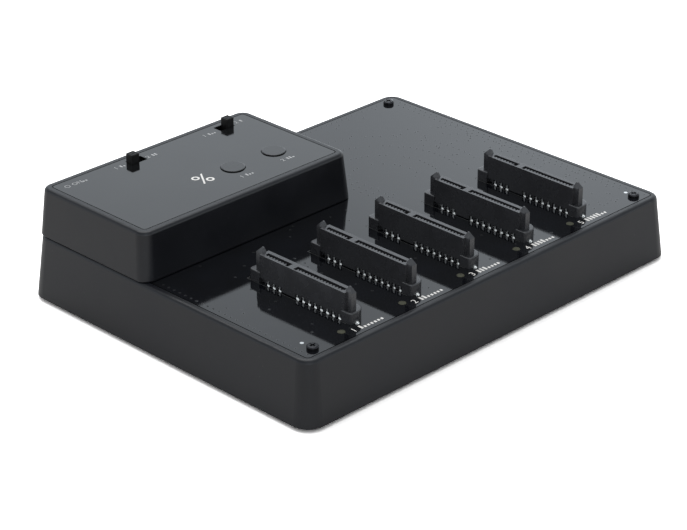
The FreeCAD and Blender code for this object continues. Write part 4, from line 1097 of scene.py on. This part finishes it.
@dataclass
class PanelPrint:
    """The printed signs of the control panel: a percent sign, labels at the controls, and a ring at the lamp.

    Places are measured from the panel's front left corner. A label is its words, its place, how far its
    bars reach and how many of them are tall.
    """

    bench: Bench
    ink: float = 0.02 * MM
    percent_size: float = 9.2 * MM
    percent_place: Pair = (34.05 * MM, 11.8 * MM)
    label_size: float = 2.5 * MM
    labels: tuple[tuple[str, float, float, float, int], ...] = (
        ("ON", 5.4 * MM, 39.8 * MM, 6.5 * MM, 0),
        ("1", 46.35 * MM, 6.6 * MM, 6.0 * MM, 1),
        ("2", 64.25 * MM, 6.6 * MM, 6.0 * MM, 2),
        ("1", 22.55 * MM, 39.7 * MM, 4.4 * MM, 1),
        ("2", 35.55 * MM, 39.2 * MM, 5.0 * MM, 2),
        ("1", 59.55 * MM, 38.8 * MM, 5.8 * MM, 1),
        ("2", 74.35 * MM, 39.7 * MM, 4.0 * MM, 2),
    )
    ring_radius: float = 0.95 * MM
    ring_line: float = 0.2 * MM
    ring_sides: int = 32

    def build(self) -> None:
        """Print every sign."""
        low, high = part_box("control_panel")
        self.corner = Vector((low[0], low[1], high[2] + self.ink))
        lamp_low, lamp_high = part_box("power_light_pipe")
        start = self.corner + Vector((*self.percent_place, 0.0))
        strong = [self.bench.lettering("percent", "%", self.percent_size, start)]
        faint = [self.ring(*middle_of(lamp_low, lamp_high))]
        for words, x, y, length, tall in self.labels:
            start = self.corner + Vector((x, y, 0.0))
            faint += self.bench.label(words, self.label_size, start, length, tall)
        piece = self.bench.join(strong, "panel_percent_sign")
        self.bench.hand_over(piece, Palette.INK, "panel_gloss", CHASSIS)
        piece = self.bench.join(faint, "panel_labels")
        self.bench.hand_over(piece, Palette.GREY_INK, "panel_gloss", CHASSIS)

    def ring(self, x: float, y: float) -> Piece:
        """Print a thin ring."""
        piece = self.bench.disc("ring", self.ring_radius, self.ring_sides)
        bpy.ops.object.mode_set(mode="EDIT")
        bpy.ops.mesh.select_all(action="SELECT")
        bpy.ops.mesh.inset(thickness=self.ring_line)
        bpy.ops.mesh.delete(type="FACE")
        bpy.ops.object.mode_set(mode="OBJECT")
        piece.data.transform(Matrix.Translation((x, y, self.corner.z)))
        return piece


def dress_solids(palette: Palette) -> None:
    """Give every solid of the frame its finish."""
    finishes: dict[Finish, Sequence[str]] = {
        Palette.SHELL: ["base_shell", "control_box_housing"],
        Palette.PLATE: ["bottom_plate"],
        Palette.RUBBER: ["rubber_feet"],
        Palette.ZINC: ["bottom_plate_screws", "control_box_screws", "control_board_screws"],
        Palette.BLACK_STEEL: ["board_screws"],
        Palette.BOARD: ["main_board", "control_board"],
        Palette.RESIN: [f"drive_connector_{number}" for number in PORTS],
        Palette.CONTACT: [f"drive_contacts_{number}" for number in PORTS],
        Palette.TIN: ["connector_board_locks"],
        Palette.LENS: ["port_lamps"],
        Palette.PANEL: ["control_panel"],
        Palette.BUTTON: ["copy_button", "mode_button"],
        Palette.LEVER: ["left_switch_lever", "right_switch_lever"],
        Palette.NYLON: [
            "copy_tact_switch", "mode_tact_switch", "copy_tact_plunger", "mode_tact_plunger",
            "board_link_socket", "board_link_plug", "power_inlet", "usb_port_tongue",
        ],
        Palette.NICKEL: [
            "left_switch_can", "right_switch_can", "usb_port_shell", "clock_crystal", "power_inlet_pin",
        ],
        Palette.SMOKED: ["percent_display"],
        Palette.MILK: ["power_lamp"],
        Palette.CLEAR: ["power_light_pipe"],
        Palette.CHIP: ["controller_chip", "memory_chip", "bridge_chips"],
        Palette.FERRITE: ["power_inductors"],
        Palette.SLEEVE: ["bulk_capacitors"],
    }
    for finish, names in finishes.items():
        for name in names:
            palette.dress(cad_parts[name], finish)
    LOG.info("dressed %d solids", sum(len(names) for names in finishes.values()))


def main() -> None:
    """Build the unit's looks and the studio."""
    logging.basicConfig(level=logging.INFO)
    palette = Palette()
    Studio().build()
    dress_solids(palette)
    bench = Bench(palette)
    DrivePorts(bench).build()
    BoardDetails(bench).build()
    SwitchLevers(bench).build()
    PanelPrint(bench).build()


if __name__ == "__main__":
    main()
